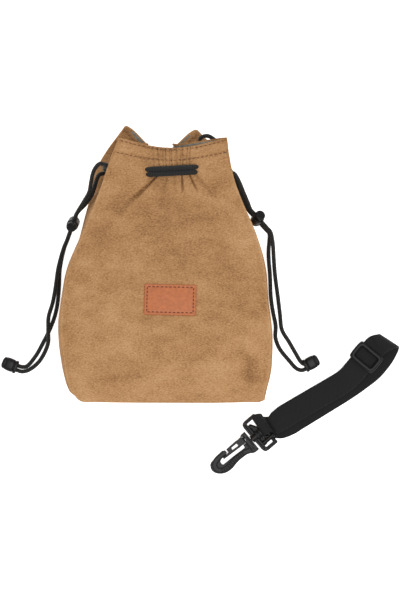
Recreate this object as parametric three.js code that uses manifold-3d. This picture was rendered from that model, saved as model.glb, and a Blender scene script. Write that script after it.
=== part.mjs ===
// Suede drawstring lens pouch, lying on its back panel, with its loose shoulder strap beside it.
// Millimetres. +X is the pouch's right, +Y runs from the base to the mouth, +Z is up off the table.
// The origin is on the flat resting face under the back panel.
import * as THREE from 'three';
import { mergeVertices } from 'three/addons/utils/BufferGeometryUtils.js';
import Module from 'manifold-3d';

const wasm = await Module();
wasm.setup();

// Driving dimensions of the pouch
const pouchHalfWidth = 87;
const pouchBaseY = -106.6;
const pouchLength = 213;
const pouchDepth = 70;
const crownHeight = 9;
const backPeakRise = 11.8;
const backPeakDifference = 3.2;
const frontRimDip = 8.5;
const backRimDip = 21;
const gussetRimDip = 4.5;
const gussetRimSag = 3;
const neckLift = 7.5;
const suedeThickness = 1.4;
const liningThickness = 1.2;
const liningGap = 0.5;
const clearance = 0.3;

// Driving dimensions of the leather label
const labelWidth = 41.3;
const labelHeight = 24.6;
const labelThickness = 1.2;
const labelCentreX = 4.6;
const labelCentreY = -24.6;
const labelTurnDegrees = -1.4;
const labelCornerRadius = 1.6;

// Driving dimensions of the cords, their locks and their ends
const cordDiameter = 3.4;
const cordSpacing = 3.7;
const cordSides = 8;
const turnedSides = 16;
const lockDiameter = 9.8;
const lockTop = 4.6;
const lockBallCentre = -4.3;
const lockRimRadius = 0.8;
const lockSlotHalfHeight = 3.85;
const lockSlotWidth = 4;
const lockBore = 6.6;
const lockBoreFloor = -6.6;
const springWell = 4.6;
const springWellFloor = -8;
const stemFoot = 1;
const buttonDiameter = 8.4;
const buttonHeight = 3;
const buttonRounding = 0.9;
const buttonDish = 0.35;
const plungerTravel = 1.6;
const springWire = 0.5;
const springCoilDiameter = 3.5;
const springTurns = 2.5;
const springSeat = 0.15;
const springStepsPerTurn = 10;
const springSides = 4;
const cordEndLength = 13.2;
const cordEndWidth = 10.9;
const cordEndFarWidth = 10;
const cordEndThickness = 8.4;
const cordEndRounding = 1.1;
const cordEndCorner = 2.8;
const leftEndX = -121.3;
const leftEndY = -80;
const leftEndHeadingDegrees = 157.3;
const rightEndX = 113.6;
const rightEndY = -79.1;
const rightEndHeadingDegrees = 28.1;

// Driving dimensions of the belt loop behind the pouch
const beltLoopWidth = 20;
const beltLoopLength = 42;
const beltLoopThickness = 1.2;
const beltLoopSlack = 2.2;
const beltLoopSewnLength = 8;
const beltLoopCentreX = 2;
const beltLoopCentreY = 53;
const beltLoopShares = [0, 0.09, 0.18, 0.24, 0.3, 0.38, 0.5, 0.62, 0.7, 0.76, 0.82, 0.91, 1];

// Driving dimensions of the strap
const webbingWidth = 19;
const webbingThickness = 1.1;
const strapRun = 92;
const strapLift = 0.02;
const sliderCentreX = 164.2;
const sliderCentreY = -71.3;
const sliderHeadingDegrees = 50;
const sliderInnerWidth = 19.7;
const sliderRail = 2.1;
const sliderLength = 16.6;
const sliderBar = 2.9;
const sliderThickness = 2;
const sliderBottom = 7.9;
const sliderCheekFoot = 2.8;
const sliderCheekFootLength = 5;
const sliderCentreBar = 2;
const sliderCentreBarHeight = 3.8;
const sliderCornerRadius = 2.6;
const sliderBevel = 0.4;

// Driving dimensions of the snap hook
const hookHeadingDegrees = 220.5;
const hookOriginX = 81.1;
const hookOriginY = -130.1;
const hookLevel = 3.4;
const hookBarDiameter = 3;
const loopInnerWidth = 24.6;
const loopArm = 3.1;
const loopInnerLength = 8.6;
const loopFrontBar = 4;
const loopThickness = 3.4;
const loopBevel = 0.7;
const loopCornerRadius = 4.2;
const loopHubDiameter = 6.4;
const loopHubStart = 6;
const loopHubEnd = 13.6;
const swivelPostDiameter = 2.8;
const swivelHeadDiameter = 4.2;
const swivelHeadLength = 1.6;
const swivelPostLength = 3;
const hookBlockStart = 14;
const hookBlockEnd = 19.8;
const hookBlockThickness = 6.6;
const hookLength = 55.3;
const hookThickness = 5;
const hookBevel = 0.6;
const gateKnuckleDiameter = 6.6;
const gateKnuckleX = 20.9;
const gateKnuckleY = -4.5;
const gateThickness = 3.8;
const gateBevel = 0.4;

// Materials
const paint = (colour, roughness, metalness = 0) =>
  new THREE.MeshStandardMaterial({ color: colour, roughness, metalness });
const suede = paint(0xb98e62, 0.95);
const plush = paint(0x8f8a82, 1);
const leather = paint(0xc57b57, 0.6);
const braid = paint(0x202020, 0.75);
const webbing = paint(0x1d1d1e, 0.9);
const satinPlastic = paint(0x2b2b2d, 0.42);
const springSteel = paint(0xa8a8aa, 0.3, 1);

const model = new THREE.Group();

function place(name, geometry, material, parent = model) {
  const mesh = new THREE.Mesh(geometry, material);
  mesh.name = name;
  parent.add(mesh);
  return mesh;
}

// Small tools for shapes

const mix = (a, b, share) => a + (b - a) * share;
const radians = (degrees) => (degrees * Math.PI) / 180;

function smoothStep(low, high, value) {
  const share = Math.min(1, Math.max(0, (value - low) / (high - low)));
  return share * share * (3 - 2 * share);
}

// Passes a smooth line through [place, value] pairs.
function smoothTable(rows) {
  return (at) => {
    const last = rows.length - 1;
    let i = 0;
    while (i < last - 1 && at > rows[i + 1][0]) i += 1;
    const before = rows[Math.max(0, i - 1)];
    const start = rows[i];
    const end = rows[i + 1];
    const after = rows[Math.min(last, i + 2)];
    const span = end[0] - start[0];
    const share = (at - start[0]) / span;
    const leave = ((end[1] - before[1]) / (end[0] - before[0])) * span;
    const arrive = ((after[1] - start[1]) / (after[0] - start[0])) * span;
    const cube = share ** 3;
    const square = share ** 2;
    return (
      start[1] * (2 * cube - 3 * square + 1) +
      leave * (cube - 2 * square + share) +
      end[1] * (3 * square - 2 * cube) +
      arrive * (cube - square)
    );
  };
}

// Joins rings of points into one closed skin with flat ends.
function skin(rings) {
  const count = rings[0].length;
  const positions = rings.flat().flatMap((p) => [p.x, p.y, p.z]);
  const faces = [];
  for (let i = 0; i < rings.length - 1; i += 1) {
    for (let j = 0; j < count; j += 1) {
      const next = (j + 1) % count;
      const a = i * count + j;
      const b = i * count + next;
      const c = (i + 1) * count + j;
      const d = (i + 1) * count + next;
      faces.push(a, b, d, a, d, c);
    }
  }
  for (let j = 1; j < count - 1; j += 1) {
    const far = (rings.length - 1) * count;
    faces.push(0, j + 1, j);
    faces.push(far, far + j, far + j + 1);
  }
  return faceOutwards(positions, faces);
}

// Turns a closed skin's faces outwards when its volume comes out negative.
function faceOutwards(positions, faces) {
  let volume = 0;
  const corner = (i) => new THREE.Vector3().fromArray(positions, 3 * i);
  for (let i = 0; i < faces.length; i += 3) {
    const [a, b, c] = [corner(faces[i]), corner(faces[i + 1]), corner(faces[i + 2])];
    volume += a.dot(b.cross(c));
  }
  if (volume < 0) faces.reverse();
  const geometry = new THREE.BufferGeometry();
  geometry.setAttribute('position', new THREE.Float32BufferAttribute(positions, 3));
  geometry.setIndex(faces);
  return geometry;
}

// A cloth panel: a grid of points on its outer face and one on its inner face, closed round the edge.
function sheetSolid(outer, inner) {
  const rows = outer.length;
  const columns = outer[0].length;
  const positions = [...outer.flat(), ...inner.flat()].flatMap((p) => [p.x, p.y, p.z]);
  const back = rows * columns;
  const at = (i, j) => i * columns + j;
  const faces = [];
  const quad = (a, b, c, d) => faces.push(a, b, c, a, c, d);
  for (let i = 0; i < rows - 1; i += 1) {
    for (let j = 0; j < columns - 1; j += 1) {
      quad(at(i, j), at(i, j + 1), at(i + 1, j + 1), at(i + 1, j));
      quad(back + at(i, j), back + at(i + 1, j), back + at(i + 1, j + 1), back + at(i, j + 1));
    }
  }
  for (let j = 0; j < columns - 1; j += 1) {
    quad(at(0, j + 1), at(0, j), back + at(0, j), back + at(0, j + 1));
    quad(at(rows - 1, j), at(rows - 1, j + 1), back + at(rows - 1, j + 1), back + at(rows - 1, j));
  }
  for (let i = 0; i < rows - 1; i += 1) {
    quad(at(i, 0), at(i + 1, 0), back + at(i + 1, 0), back + at(i, 0));
    const low = at(i, columns - 1);
    const high = at(i + 1, columns - 1);
    quad(high, low, back + low, back + high);
  }
  return faceOutwards(positions, faces);
}

function toSolid(geometry) {
  const bare = geometry.clone();
  bare.deleteAttribute('normal');
  bare.deleteAttribute('uv');
  const merged = mergeVertices(bare, mergeTolerance);
  return new wasm.Manifold(
    new wasm.Mesh({
      numProp: 3,
      vertProperties: new Float32Array(merged.attributes.position.array),
      triVerts: new Uint32Array(merged.index.array),
    }),
  );
}
const mergeTolerance = 1e-4;

function toGeometry(solid) {
  const { vertProperties, triVerts } = solid.getMesh();
  const geometry = new THREE.BufferGeometry();
  geometry.setAttribute('position', new THREE.Float32BufferAttribute(vertProperties, 3));
  geometry.setIndex(Array.from(triVerts));
  return geometry;
}

function cut(geometry, ...tools) {
  let solid = toSolid(geometry);
  for (const tool of tools) solid = solid.subtract(toSolid(tool));
  return toGeometry(solid);
}

function join(geometry, ...others) {
  let solid = toSolid(geometry);
  for (const other of others) solid = solid.add(toSolid(other));
  return toGeometry(solid);
}

// A round bar along hand-chosen points.
function tube(points, diameter, steps, sides = cordSides) {
  const ring = new THREE.Shape();
  for (let i = 0; i < sides; i += 1) {
    const angle = (2 * Math.PI * i) / sides;
    const x = (Math.cos(angle) * diameter) / 2;
    const y = (Math.sin(angle) * diameter) / 2;
    if (i === 0) ring.moveTo(x, y);
    else ring.lineTo(x, y);
  }
  ring.closePath();
  const path = new THREE.CatmullRomCurve3(points.map((p) => new THREE.Vector3(...p)), false, 'centripetal');
  return new THREE.ExtrudeGeometry(ring, { steps, extrudePath: path, bevelEnabled: false });
}

// A turned shape about Z, from an outline of [radius, height] that starts and ends on the axis.
function turned(outline, sides = turnedSides) {
  const positions = [];
  const rings = outline.map(([radius, height]) => {
    const start = positions.length / 3;
    const count = radius === 0 ? 1 : sides;
    for (let i = 0; i < count; i += 1) {
      const angle = (2 * Math.PI * i) / sides;
      positions.push(Math.cos(angle) * radius, Math.sin(angle) * radius, height);
    }
    return { start, count };
  });
  const faces = [];
  for (let i = 0; i < rings.length - 1; i += 1) {
    const [low, high] = [rings[i], rings[i + 1]];
    for (let j = 0; j < sides; j += 1) {
      const next = (j + 1) % sides;
      const a = low.start + (j % low.count);
      const b = low.start + (next % low.count);
      const c = high.start + (j % high.count);
      const d = high.start + (next % high.count);
      if (low.count > 1) faces.push(a, b, d);
      if (high.count > 1) faces.push(a, d, c);
    }
  }
  return faceOutwards(positions, faces);
}

// A flat outline through [x, y, rounding] corners.
function roundedOutline(corners, Kind = THREE.Shape) {
  const outline = new Kind();
  corners.forEach(([x, y, rounding], i) => {
    const here = new THREE.Vector2(x, y);
    const towards = (other) => {
      const there = new THREE.Vector2(other[0], other[1]);
      const reach = Math.min(rounding, here.distanceTo(there) / 2);
      return here.clone().add(there.sub(here).setLength(reach));
    };
    const from = towards(corners[(i + corners.length - 1) % corners.length]);
    const to = towards(corners[(i + 1) % corners.length]);
    if (i === 0) outline.moveTo(from.x, from.y);
    else outline.lineTo(from.x, from.y);
    if (rounding > 0) outline.quadraticCurveTo(x, y, to.x, to.y);
  });
  outline.closePath();
  return outline;
}

// A flat plate of this outline, its middle at height 0, with eased edges.
function plate(outline, thickness, bevel, curveSegments = 3) {
  const geometry = new THREE.ExtrudeGeometry(outline, {
    depth: thickness - 2 * bevel,
    bevelEnabled: bevel > 0,
    bevelThickness: bevel,
    bevelSize: bevel,
    bevelOffset: -bevel,
    bevelSegments: 2,
    curveSegments,
  });
  return geometry.translate(0, 0, bevel - thickness / 2);
}

// A round bar from one end to the other along X.
function barAlongX(start, end, diameter, sides = turnedSides) {
  const bar = turned([[0, start], [diameter / 2, start], [diameter / 2, end], [0, end]], sides);
  return bar.rotateY(Math.PI / 2);
}

// The pouch's outer form.
// Each table follows one line from the base (0) to the rim (1).

const frontLeftShares = smoothTable([
  [0, -0.807], [0.04, -0.872], [0.1, -0.911], [0.18, -0.939], [0.27, -0.964], [0.38, -0.948],
  [0.5, -0.9], [0.62, -0.783], [0.74, -0.664], [0.86, -0.566], [1, -0.443],
]);
const frontRightShares = smoothTable([
  [0, 0.92], [0.04, 0.932], [0.1, 0.97], [0.18, 0.988], [0.27, 0.987], [0.38, 0.957],
  [0.5, 0.934], [0.62, 0.864], [0.74, 0.746], [0.86, 0.646], [1, 0.585],
]);
const leftFoldShares = smoothTable([
  [0, -0.816], [0.04, -0.888], [0.1, -0.937], [0.18, -0.97], [0.27, -0.99], [0.38, -0.966],
  [0.5, -0.908], [0.62, -0.796], [0.74, -0.667], [0.86, -0.483], [1, -0.16],
]);
const rightFoldShares = smoothTable([
  [0, 0.92], [0.04, 0.937], [0.1, 0.971], [0.18, 0.994], [0.27, 0.994], [0.38, 0.962],
  [0.5, 0.932], [0.62, 0.838], [0.74, 0.708], [0.86, 0.517], [1, 0.077],
]);
const backLeftShares = smoothTable([
  [0, -0.816], [0.04, -0.874], [0.1, -0.914], [0.18, -0.943], [0.27, -0.966], [0.38, -0.943],
  [0.5, -0.885], [0.62, -0.799], [0.74, -0.73], [0.86, -0.661], [1, -0.393],
]);
const backRightShares = smoothTable([
  [0, 0.908], [0.04, 0.931], [0.1, 0.96], [0.18, 0.977], [0.27, 0.977], [0.38, 0.954],
  [0.5, 0.927], [0.62, 0.846], [0.74, 0.735], [0.86, 0.65], [1, 0.316],
]);
const frontHeightShares = smoothTable([
  [0, 0.829], [0.04, 0.914], [0.1, 0.971], [0.18, 1], [0.27, 1], [0.38, 0.957],
  [0.5, 0.886], [0.62, 0.814], [0.74, 0.743], [0.86, 0.671], [1, 0.629],
]);
const crownShares = smoothTable([
  [0, 0.25], [0.04, 0.45], [0.1, 0.7], [0.18, 0.9], [0.27, 1], [0.38, 1],
  [0.5, 0.9], [0.62, 0.65], [0.74, 0.33], [0.86, 0.1], [1, -0.2],
]);
const liftStartShare = 0.56;
const liftEndShare = 0.7;
const foldRoundingShare = 0.24;
const rimSagPower = 16;

const alongY = (share) => pouchBaseY + pouchLength * share;
const backHeight = (share) => neckLift * smoothStep(liftStartShare, liftEndShare, share);
const frontHeight = (share) => pouchDepth * frontHeightShares(share);

// Rises from 0 at the seams to 1 at the middle, straight on both sides of a rounded fold.
function foldShape(across) {
  const flat = Math.hypot(1, foldRoundingShare);
  return (flat - Math.hypot(2 * across - 1, foldRoundingShare)) / (flat - foldRoundingShare);
}

function frontPoint(across, share) {
  const dip = frontRimDip * Math.sin(Math.PI * across) ** 1.1 * share ** 3;
  const crown = crownHeight * crownShares(share) * (1 - (2 * across - 1) ** 2);
  return new THREE.Vector3(
    pouchHalfWidth * mix(frontLeftShares(share), frontRightShares(share), across),
    alongY(share) - dip,
    frontHeight(share) + crown,
  );
}

function backPoint(across, share) {
  const peak = backPeakRise - backPeakDifference * across;
  const dip = backRimDip * Math.sin(Math.PI * across) ** 0.97;
  return new THREE.Vector3(
    pouchHalfWidth * mix(backLeftShares(share), backRightShares(share), across),
    alongY(share) + (peak - dip) * share ** 3,
    backHeight(share),
  );
}

// across runs from the front seam (0) to the back seam (1).
function gussetPoint(side, across, share) {
  const front = frontPoint(side < 0 ? 0 : 1, share);
  const back = backPoint(side < 0 ? 0 : 1, share);
  const foldX = pouchHalfWidth * (side < 0 ? leftFoldShares(share) : rightFoldShares(share));
  const rise = foldShape(across);
  const foldY = alongY(share) - gussetRimDip * share ** 3;
  const lowerHalf = Math.sin(2 * Math.PI * Math.max(0, across - 0.5)) ** 2;
  const sag = gussetRimSag * lowerHalf * share ** rimSagPower;
  const straightX = mix(front.x, back.x, across);
  const straightY = mix(front.y, back.y, across);
  return new THREE.Vector3(
    straightX + (foldX - (front.x + back.x) / 2) * rise,
    straightY + (foldY - (front.y + back.y) / 2) * rise - sag,
    mix(front.z, back.z, across),
  );
}

const leftGussetPoint = (across, share) => gussetPoint(-1, across, share);
const rightGussetPoint = (across, share) => gussetPoint(1, across, share);

const probe = 0.01;

// The way off the outer face, inwards, at a point of a panel.
function inwardNormal(surface, across, share, turn) {
  const lowAcross = Math.max(0, across - probe);
  const highAcross = Math.min(1, across + probe);
  const lowShare = Math.max(0, share - probe);
  const highShare = Math.min(1, share + probe);
  const overWidth = surface(highAcross, share).sub(surface(lowAcross, share));
  const overLength = surface(across, highShare).sub(surface(across, lowShare));
  return overLength.cross(overWidth).multiplyScalar(turn).normalize();
}

// The angle inside the pouch between two panels that meet at a seam.
function seamAngle(along, other) {
  return Math.acos(Math.min(1, Math.max(-1, along.dot(other))));
}

const panels = {
  front: { surface: frontPoint, turn: 1, columns: 12 },
  back: { surface: backPoint, turn: -1, columns: 12 },
  left: { surface: leftGussetPoint, turn: -1, columns: 9 },
  right: { surface: rightGussetPoint, turn: 1, columns: 9 },
};
// The panels that each panel meets: [panel at its start, its edge there, panel at its end, its edge there].
const seams = {
  front: [['left', 0], ['right', 0]],
  back: [['left', 1], ['right', 1]],
  left: [['front', 0], ['back', 0]],
  right: [['front', 1], ['back', 1]],
};

function leavingSeam(name, edge, share) {
  const { surface } = panels[name];
  const at = surface(edge, share);
  const off = surface(edge === 0 ? seamProbe : 1 - seamProbe, share);
  return off.sub(at).setY(0).normalize();
}
const seamProbe = 0.06;

function panelWidth(name, share) {
  const { surface } = panels[name];
  let width = 0;
  const steps = 8;
  for (let i = 0; i < steps; i += 1) {
    width += surface(i / steps, share).distanceTo(surface((i + 1) / steps, share));
  }
  return width;
}

// How far a panel's face at this depth stays off the seam, as a share of the panel's width.
function seamInset(name, end, share, depth) {
  const [otherName, otherEdge] = seams[name][end];
  const angle = seamAngle(leavingSeam(name, end, share), leavingSeam(otherName, otherEdge, share));
  const half = Math.max(angle, leastSeamAngle) / 2;
  const inset = depth * (1 / Math.tan(half) + seamEase) + clearance / 2 / Math.sin(half);
  return Math.max(inset, clearance / 2) / panelWidth(name, share);
}
const leastSeamAngle = radians(14);
const seamEase = 0.25;

function panelGrid(name, depth, firstShare, lastShare, rows) {
  const { surface, turn, columns } = panels[name];
  const grid = [];
  for (let i = 0; i < rows; i += 1) {
    const share = mix(firstShare, lastShare, i / (rows - 1));
    const start = seamInset(name, 0, share, depth);
    const end = 1 - seamInset(name, 1, share, depth);
    const row = [];
    for (let j = 0; j < columns; j += 1) {
      const across = mix(start, end, j / (columns - 1));
      const normal = inwardNormal(surface, across, share, turn);
      row.push(surface(across, share).addScaledVector(normal, depth));
    }
    grid.push(row);
  }
  return grid;
}

const panelRows = 17;
const liningDepth = suedeThickness + liningGap;
const settleRounds = 6;
// Side panels start this far along, on top of the base's suede.
const sideStartShare = (suedeThickness + clearance) / pouchLength;

function suedePanel(name) {
  return sheetSolid(
    panelGrid(name, 0, sideStartShare, 1, panelRows),
    panelGrid(name, suedeThickness, sideStartShare, 1, panelRows),
  );
}

function liningPanel(name) {
  return sheetSolid(
    panelGrid(name, liningDepth, sideStartShare, 1, panelRows),
    panelGrid(name, liningDepth + liningThickness, sideStartShare, 1, panelRows),
  );
}


// The base: a suede plate under the ends of the side panels, and a lining inside them.

function baseOutline(depth) {
  const rows = {};
  for (const name of Object.keys(panels)) {
    rows[name] = panelGrid(name, depth, sideStartShare, 1, 2)[0];
  }
  return [...rows.front, ...rows.right, ...[...rows.back].reverse(), ...[...rows.left].reverse()];
}

function basePlate(depth, startY, thickness) {
  const outline = baseOutline(depth);
  const ringAt = (y) => outline.map((p) => new THREE.Vector3(p.x, y, p.z));
  return skin([ringAt(startY), ringAt(startY + thickness)]);
}

// A cord lock's own frame: where its cords run and which way its button points.
const lockFrame = ({ centre, heading, descent, roll }) => {
  const turn = radians(heading);
  const fall = radians(descent);
  const lean = radians(roll);
  const along = new THREE.Vector3(
    Math.cos(turn) * Math.cos(fall),
    Math.sin(turn) * Math.cos(fall),
    -Math.sin(fall),
  );
  const up = new THREE.Vector3(
    Math.cos(turn) * Math.sin(fall),
    Math.sin(turn) * Math.sin(fall),
    Math.cos(fall),
  );
  const side = up.clone().cross(along);
  const axis = up.multiplyScalar(Math.cos(lean)).addScaledVector(side, Math.sin(lean));
  return { centre: new THREE.Vector3(...centre), along, axis, across: axis.clone().cross(along) };
};
const leftLock = lockFrame({ centre: [-75.4, 37.7, 9.3], heading: -110.7, descent: 22, roll: 0 });
const rightLock = lockFrame({ centre: [75.2, 41.6, 12.8], heading: -48, descent: -4, roll: 23 });

// Where a cord runs straight through its lock: places along it, on the upper or the lower side.
function throughLock(lock, stack) {
  return lockStretch.map((along) => [
    ...lock.centre
      .clone()
      .addScaledVector(lock.along, along)
      .addScaledVector(lock.axis, (stack * cordSpacing) / 2),
  ]);
}
const lockStretch = [-9, -5.5, 11.5, 15];

// Routes of the two drawstrings, held in the neck.
const leftLoopRoute = [
  [-49.3, 85, 34.6], [-43.5, 83.6, 36.3], [-36, 82.2, 38.8], [-26, 80.9, 40.8], [-19, 80.3, 41.4],
  [-14.5, 80.2, 45], [-10, 80.5, 48.6], [5.5, 81.2, 49], [21, 82.1, 48.6], [25.5, 82.4, 45],
  [30, 82.6, 41.3], [38, 83, 39.8], [44, 83.3, 37.8], [48.5, 84, 35.9], [50.6, 88, 33.6],
  [47.5, 96, 31], [41, 104.5, 28], [34, 108.6, 25.5], [28.5, 106.3, 22.8], [31.5, 99, 21],
  [41, 92, 20.8], [49.5, 88.4, 20.8], [53, 85, 20.2], [49.5, 82.7, 19], [43, 82.3, 17],
  [35, 82, 14.8], [29, 81.7, 12.9], [24.5, 81.5, 9], [19.5, 81.5, 5.5], [5, 81.5, 5.2],
  [-9.5, 81.5, 5.5], [-14.5, 81.5, 9], [-19.5, 81.3, 12.9], [-28, 80.3, 13.6], [-36, 79.3, 15.6],
  [-42.5, 79, 18.6], [-46.5, 78.8, 19.8], [-49.5, 78.3, 20.2],
];
const rightLoopRoute = [
  [52.3, 78.3, 34.4], [47, 78.9, 36.2], [39, 79, 38.8], [30.5, 78.5, 41.3], [25.5, 78.3, 45],
  [21, 78, 48.6], [5.5, 77.1, 49], [-10, 76.4, 48.6], [-14.5, 76.1, 45], [-19, 76.2, 41.4],
  [-26, 76.8, 40.8], [-36, 78.1, 38.8], [-43.5, 79.3, 36.2], [-47.6, 80.2, 33.4], [-48.9, 81.8, 29],
  [-48.9, 83.2, 25], [-47.2, 83.9, 21.5], [-43, 84.2, 19], [-36, 83.3, 18.4], [-28, 80, 18.3],
  [-22.6, 77.3, 15.6], [-19.2, 77, 12.4], [-14.5, 77.2, 9], [-9.5, 77.3, 5.5], [5, 77.3, 5.2],
  [19.5, 77.3, 5.5],
  [24.5, 77.3, 9], [29, 77.4, 12.9], [35, 77.9, 14.8], [43, 78.3, 17], [48, 78.3, 18.9],
  [52, 77.6, 19.4],
];

// Two places just beyond an end of a held loop, where the free strand takes over.
function beyond(end, before) {
  const out = new THREE.Vector3(...end).sub(new THREE.Vector3(...before)).normalize();
  return [clearance, cordDiameter].map((step) => [...new THREE.Vector3(...end).addScaledVector(out, step)]);
}
const leftUpperExit = beyond(leftLoopRoute[0], leftLoopRoute[1]);
const leftLowerExit = beyond(leftLoopRoute.at(-1), leftLoopRoute.at(-2));
const rightUpperExit = beyond(rightLoopRoute[0], rightLoopRoute[1]);
const rightLowerExit = beyond(rightLoopRoute.at(-1), rightLoopRoute.at(-2));

// Routes of the free strands, from the neck to the cord ends.
const strandRoutes = {
  left_upper_strand: [
    ...leftUpperExit, [-56.2, 82.6, 31.6], [-58.6, 77.6, 29.4], [-60.2, 70.3, 26.8], [-61.6, 63, 24.6],
    [-66, 55.5, 20.5], ...throughLock(leftLock, 1),
    [-83.2, 17.6, 5.9], [-87, 1.6, 5.6], [-88.5, -13.9, 5.6], [-91.3, -27.1, 5.4], [-95.6, -38.5, 5.3],
    [-95.9, -49.7, 5.7], [-96.2, -60.5, 4], [-103.3, -74.8, 2.4], [-111.9, -81.9, 3], [-117.5, -83.2, 4],
    [-121.8, -81.9, 4.5], [-125, -80.6, 4.5],
  ],
  left_lower_strand: [
    ...leftLowerExit, [-54.8, 75.4, 20.9], [-56.6, 70, 21.1], [-59.4, 61.5, 20.6], [-64.3, 54.3, 16.4],
    ...throughLock(leftLock, -1),
    [-83, 17.6, 1.9], [-87, 1.6, 1.8], [-88.5, -13.9, 1.8], [-90.5, -27.1, 1.8], [-90.6, -37.5, 1.8],
    [-94.9, -49, 1.8], [-100.2, -59.6, 1.8], [-106.4, -70.6, 1.8], [-113.8, -79, 2.8], [-118, -79.3, 4],
    [-121.5, -78, 4.5], [-124.3, -76.8, 4.5],
  ],
  right_upper_strand: [
    ...rightUpperExit, [58, 75, 30.8], [61, 69, 27.6], [64.2, 61.5, 22.8], [67.2, 54.8, 17.6],
    ...throughLock(rightLock, 1),
    [87.4, 24, 13.4], [88.2, 16.5, 9], [88.8, 8, 3.9], [89.8, -4.1, 1.8], [92.25, -23, 1.8],
    [93.9, -36.9, 1.8],
    [95.5, -49.2, 1.8], [101.3, -59, 2], [107, -68.9, 2.9], [110.4, -74.6, 4.1], [113.2, -77.1, 4.5],
    [116.4, -75.8, 4.5],
  ],
  right_lower_strand: [
    ...rightLowerExit, [57.6, 73.6, 20], [59.8, 66, 20.2], [62.6, 58.4, 18.2], [65.6, 52.2, 14],
    ...throughLock(rightLock, -1),
    [84.9, 23.5, 8.6], [84.4, 16.5, 4.4], [84.6, 8, 2.1], [85.6, -4.1, 1.8], [86.4, -23, 1.8],
    [88.2, -34.9, 1.8],
    [90.3, -45.9, 1.8], [90.2, -55.8, 1.8], [93.6, -64.6, 1.9], [100.5, -73.3, 2.8], [108, -81.2, 4.1],
    [112.6, -82, 4.5], [116.6, -79.8, 4.5],
  ],
};
const loopSteps = 58;
const strandSteps = 31;
const cordCut = cordDiameter + 2 * clearance;

const loopCuts = [tube(leftLoopRoute, cordCut, loopSteps), tube(rightLoopRoute, cordCut, loopSteps)];
const cloth = (name, geometry, material) => place(name, cut(geometry, ...loopCuts), material);

cloth('front_panel', suedePanel('front'), suede);
cloth('back_panel', suedePanel('back'), suede);
cloth('left_gusset', suedePanel('left'), suede);
cloth('right_gusset', suedePanel('right'), suede);
cloth('front_lining', liningPanel('front'), plush);
cloth('back_lining', liningPanel('back'), plush);
cloth('left_lining', liningPanel('left'), plush);
cloth('right_lining', liningPanel('right'), plush);
place('base_panel', basePlate(0, pouchBaseY, suedeThickness), suede);
place(
  'base_lining',
  basePlate(
    liningDepth + liningThickness + clearance,
    pouchBaseY + liningDepth,
    liningThickness,
  ),
  plush,
);

// The leather label, laid on the curved front.

// Finds where a panel's outer face lies above or below a place on the table.
function onSurface(surface, x, y) {
  let share = (y - pouchBaseY) / pouchLength;
  let across = 0;
  for (let i = 0; i < settleRounds; i += 1) {
    const left = surface(0, share).x;
    const right = surface(1, share).x;
    across = (x - left) / (right - left);
    share += (y - surface(across, share).y) / pouchLength;
  }
  return [across, share];
}

function labelGrid(height) {
  const turn = radians(labelTurnDegrees);
  const cornerPull = labelCornerRadius * (1 - Math.SQRT1_2);
  const stops = (size, inner) => {
    const half = size / 2;
    const places = [-half];
    const straight = half - labelCornerRadius;
    for (let i = 0; i <= inner; i += 1) places.push(mix(-straight, straight, i / inner));
    return [...places, half];
  };
  const columns = stops(labelWidth, 6);
  const rows = stops(labelHeight, 4);
  return rows.map((b, i) =>
    columns.map((a, j) => {
      const corner = (i === 0 || i === rows.length - 1) && (j === 0 || j === columns.length - 1);
      const x = corner ? a - Math.sign(a) * cornerPull : a;
      const y = corner ? b - Math.sign(b) * cornerPull : b;
      const [across, share] = onSurface(
        frontPoint,
        labelCentreX + x * Math.cos(turn) - y * Math.sin(turn),
        labelCentreY + x * Math.sin(turn) + y * Math.cos(turn),
      );
      const normal = inwardNormal(frontPoint, across, share, 1);
      return frontPoint(across, share).addScaledVector(normal, -height);
    }),
  );
}
place('label_patch', sheetSolid(labelGrid(clearance + labelThickness), labelGrid(clearance)), leather);

// The cords.

place('drawstring_left_loop', tube(leftLoopRoute, cordDiameter, loopSteps), braid);
place('drawstring_right_loop', tube(rightLoopRoute, cordDiameter, loopSteps), braid);
for (const [name, route] of Object.entries(strandRoutes)) {
  place(`drawstring_${name}`, tube(route, cordDiameter, strandSteps), braid);
}

// The locks: a body that both strands run through, a push button on a stem with its own hole, and a spring.

const ballShares = [-1, -0.9659, -0.866, -0.7071, -0.5, -0.2588, 0];

function lockBodySolid() {
  const radius = lockDiameter / 2;
  const shell = turned([
    ...ballShares.map((share) => [radius * Math.sqrt(1 - share ** 2), lockBallCentre + radius * share]),
    [radius, lockTop - lockRimRadius],
    [radius - lockRimRadius * (1 - Math.SQRT1_2), lockTop - lockRimRadius * (1 - Math.SQRT1_2)],
    [radius - lockRimRadius, lockTop],
    [lockBore / 2, lockTop],
    [lockBore / 2, lockBoreFloor],
    [springWell / 2, lockBoreFloor],
    [springWell / 2, springWellFloor],
    [0, springWellFloor],
  ]);
  return cut(shell, cordSlot(-lockSlotHalfHeight, lockSlotHalfHeight));
}

// A slot along X that both strands pass, one above the other.
function cordSlot(bottom, top) {
  const half = lockSlotWidth / 2;
  const outline = roundedOutline([
    [bottom, -half, half], [top, -half, half], [top, half, half], [bottom, half, half],
  ]);
  return plate(outline, 2 * lockDiameter, 0).rotateY(-Math.PI / 2);
}

function plungerSolid() {
  const stem = lockBore / 2 - clearance;
  const button = buttonDiameter / 2;
  const seat = lockTop + plungerTravel + clearance;
  const foot = -lockSlotHalfHeight - stemFoot;
  const top = seat + buttonHeight;
  const whole = turned([
    [0, foot], [stem, foot], [stem, seat], [button, seat], [button, top - buttonRounding],
    [button - buttonRounding * (1 - Math.SQRT1_2), top - buttonRounding * (1 - Math.SQRT1_2)],
    [button - buttonRounding, top], [button / 2, top - buttonDish], [0, top - buttonDish],
  ]);
  return cut(whole, cordSlot(-lockSlotHalfHeight, lockSlotHalfHeight + plungerTravel));
}

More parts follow.
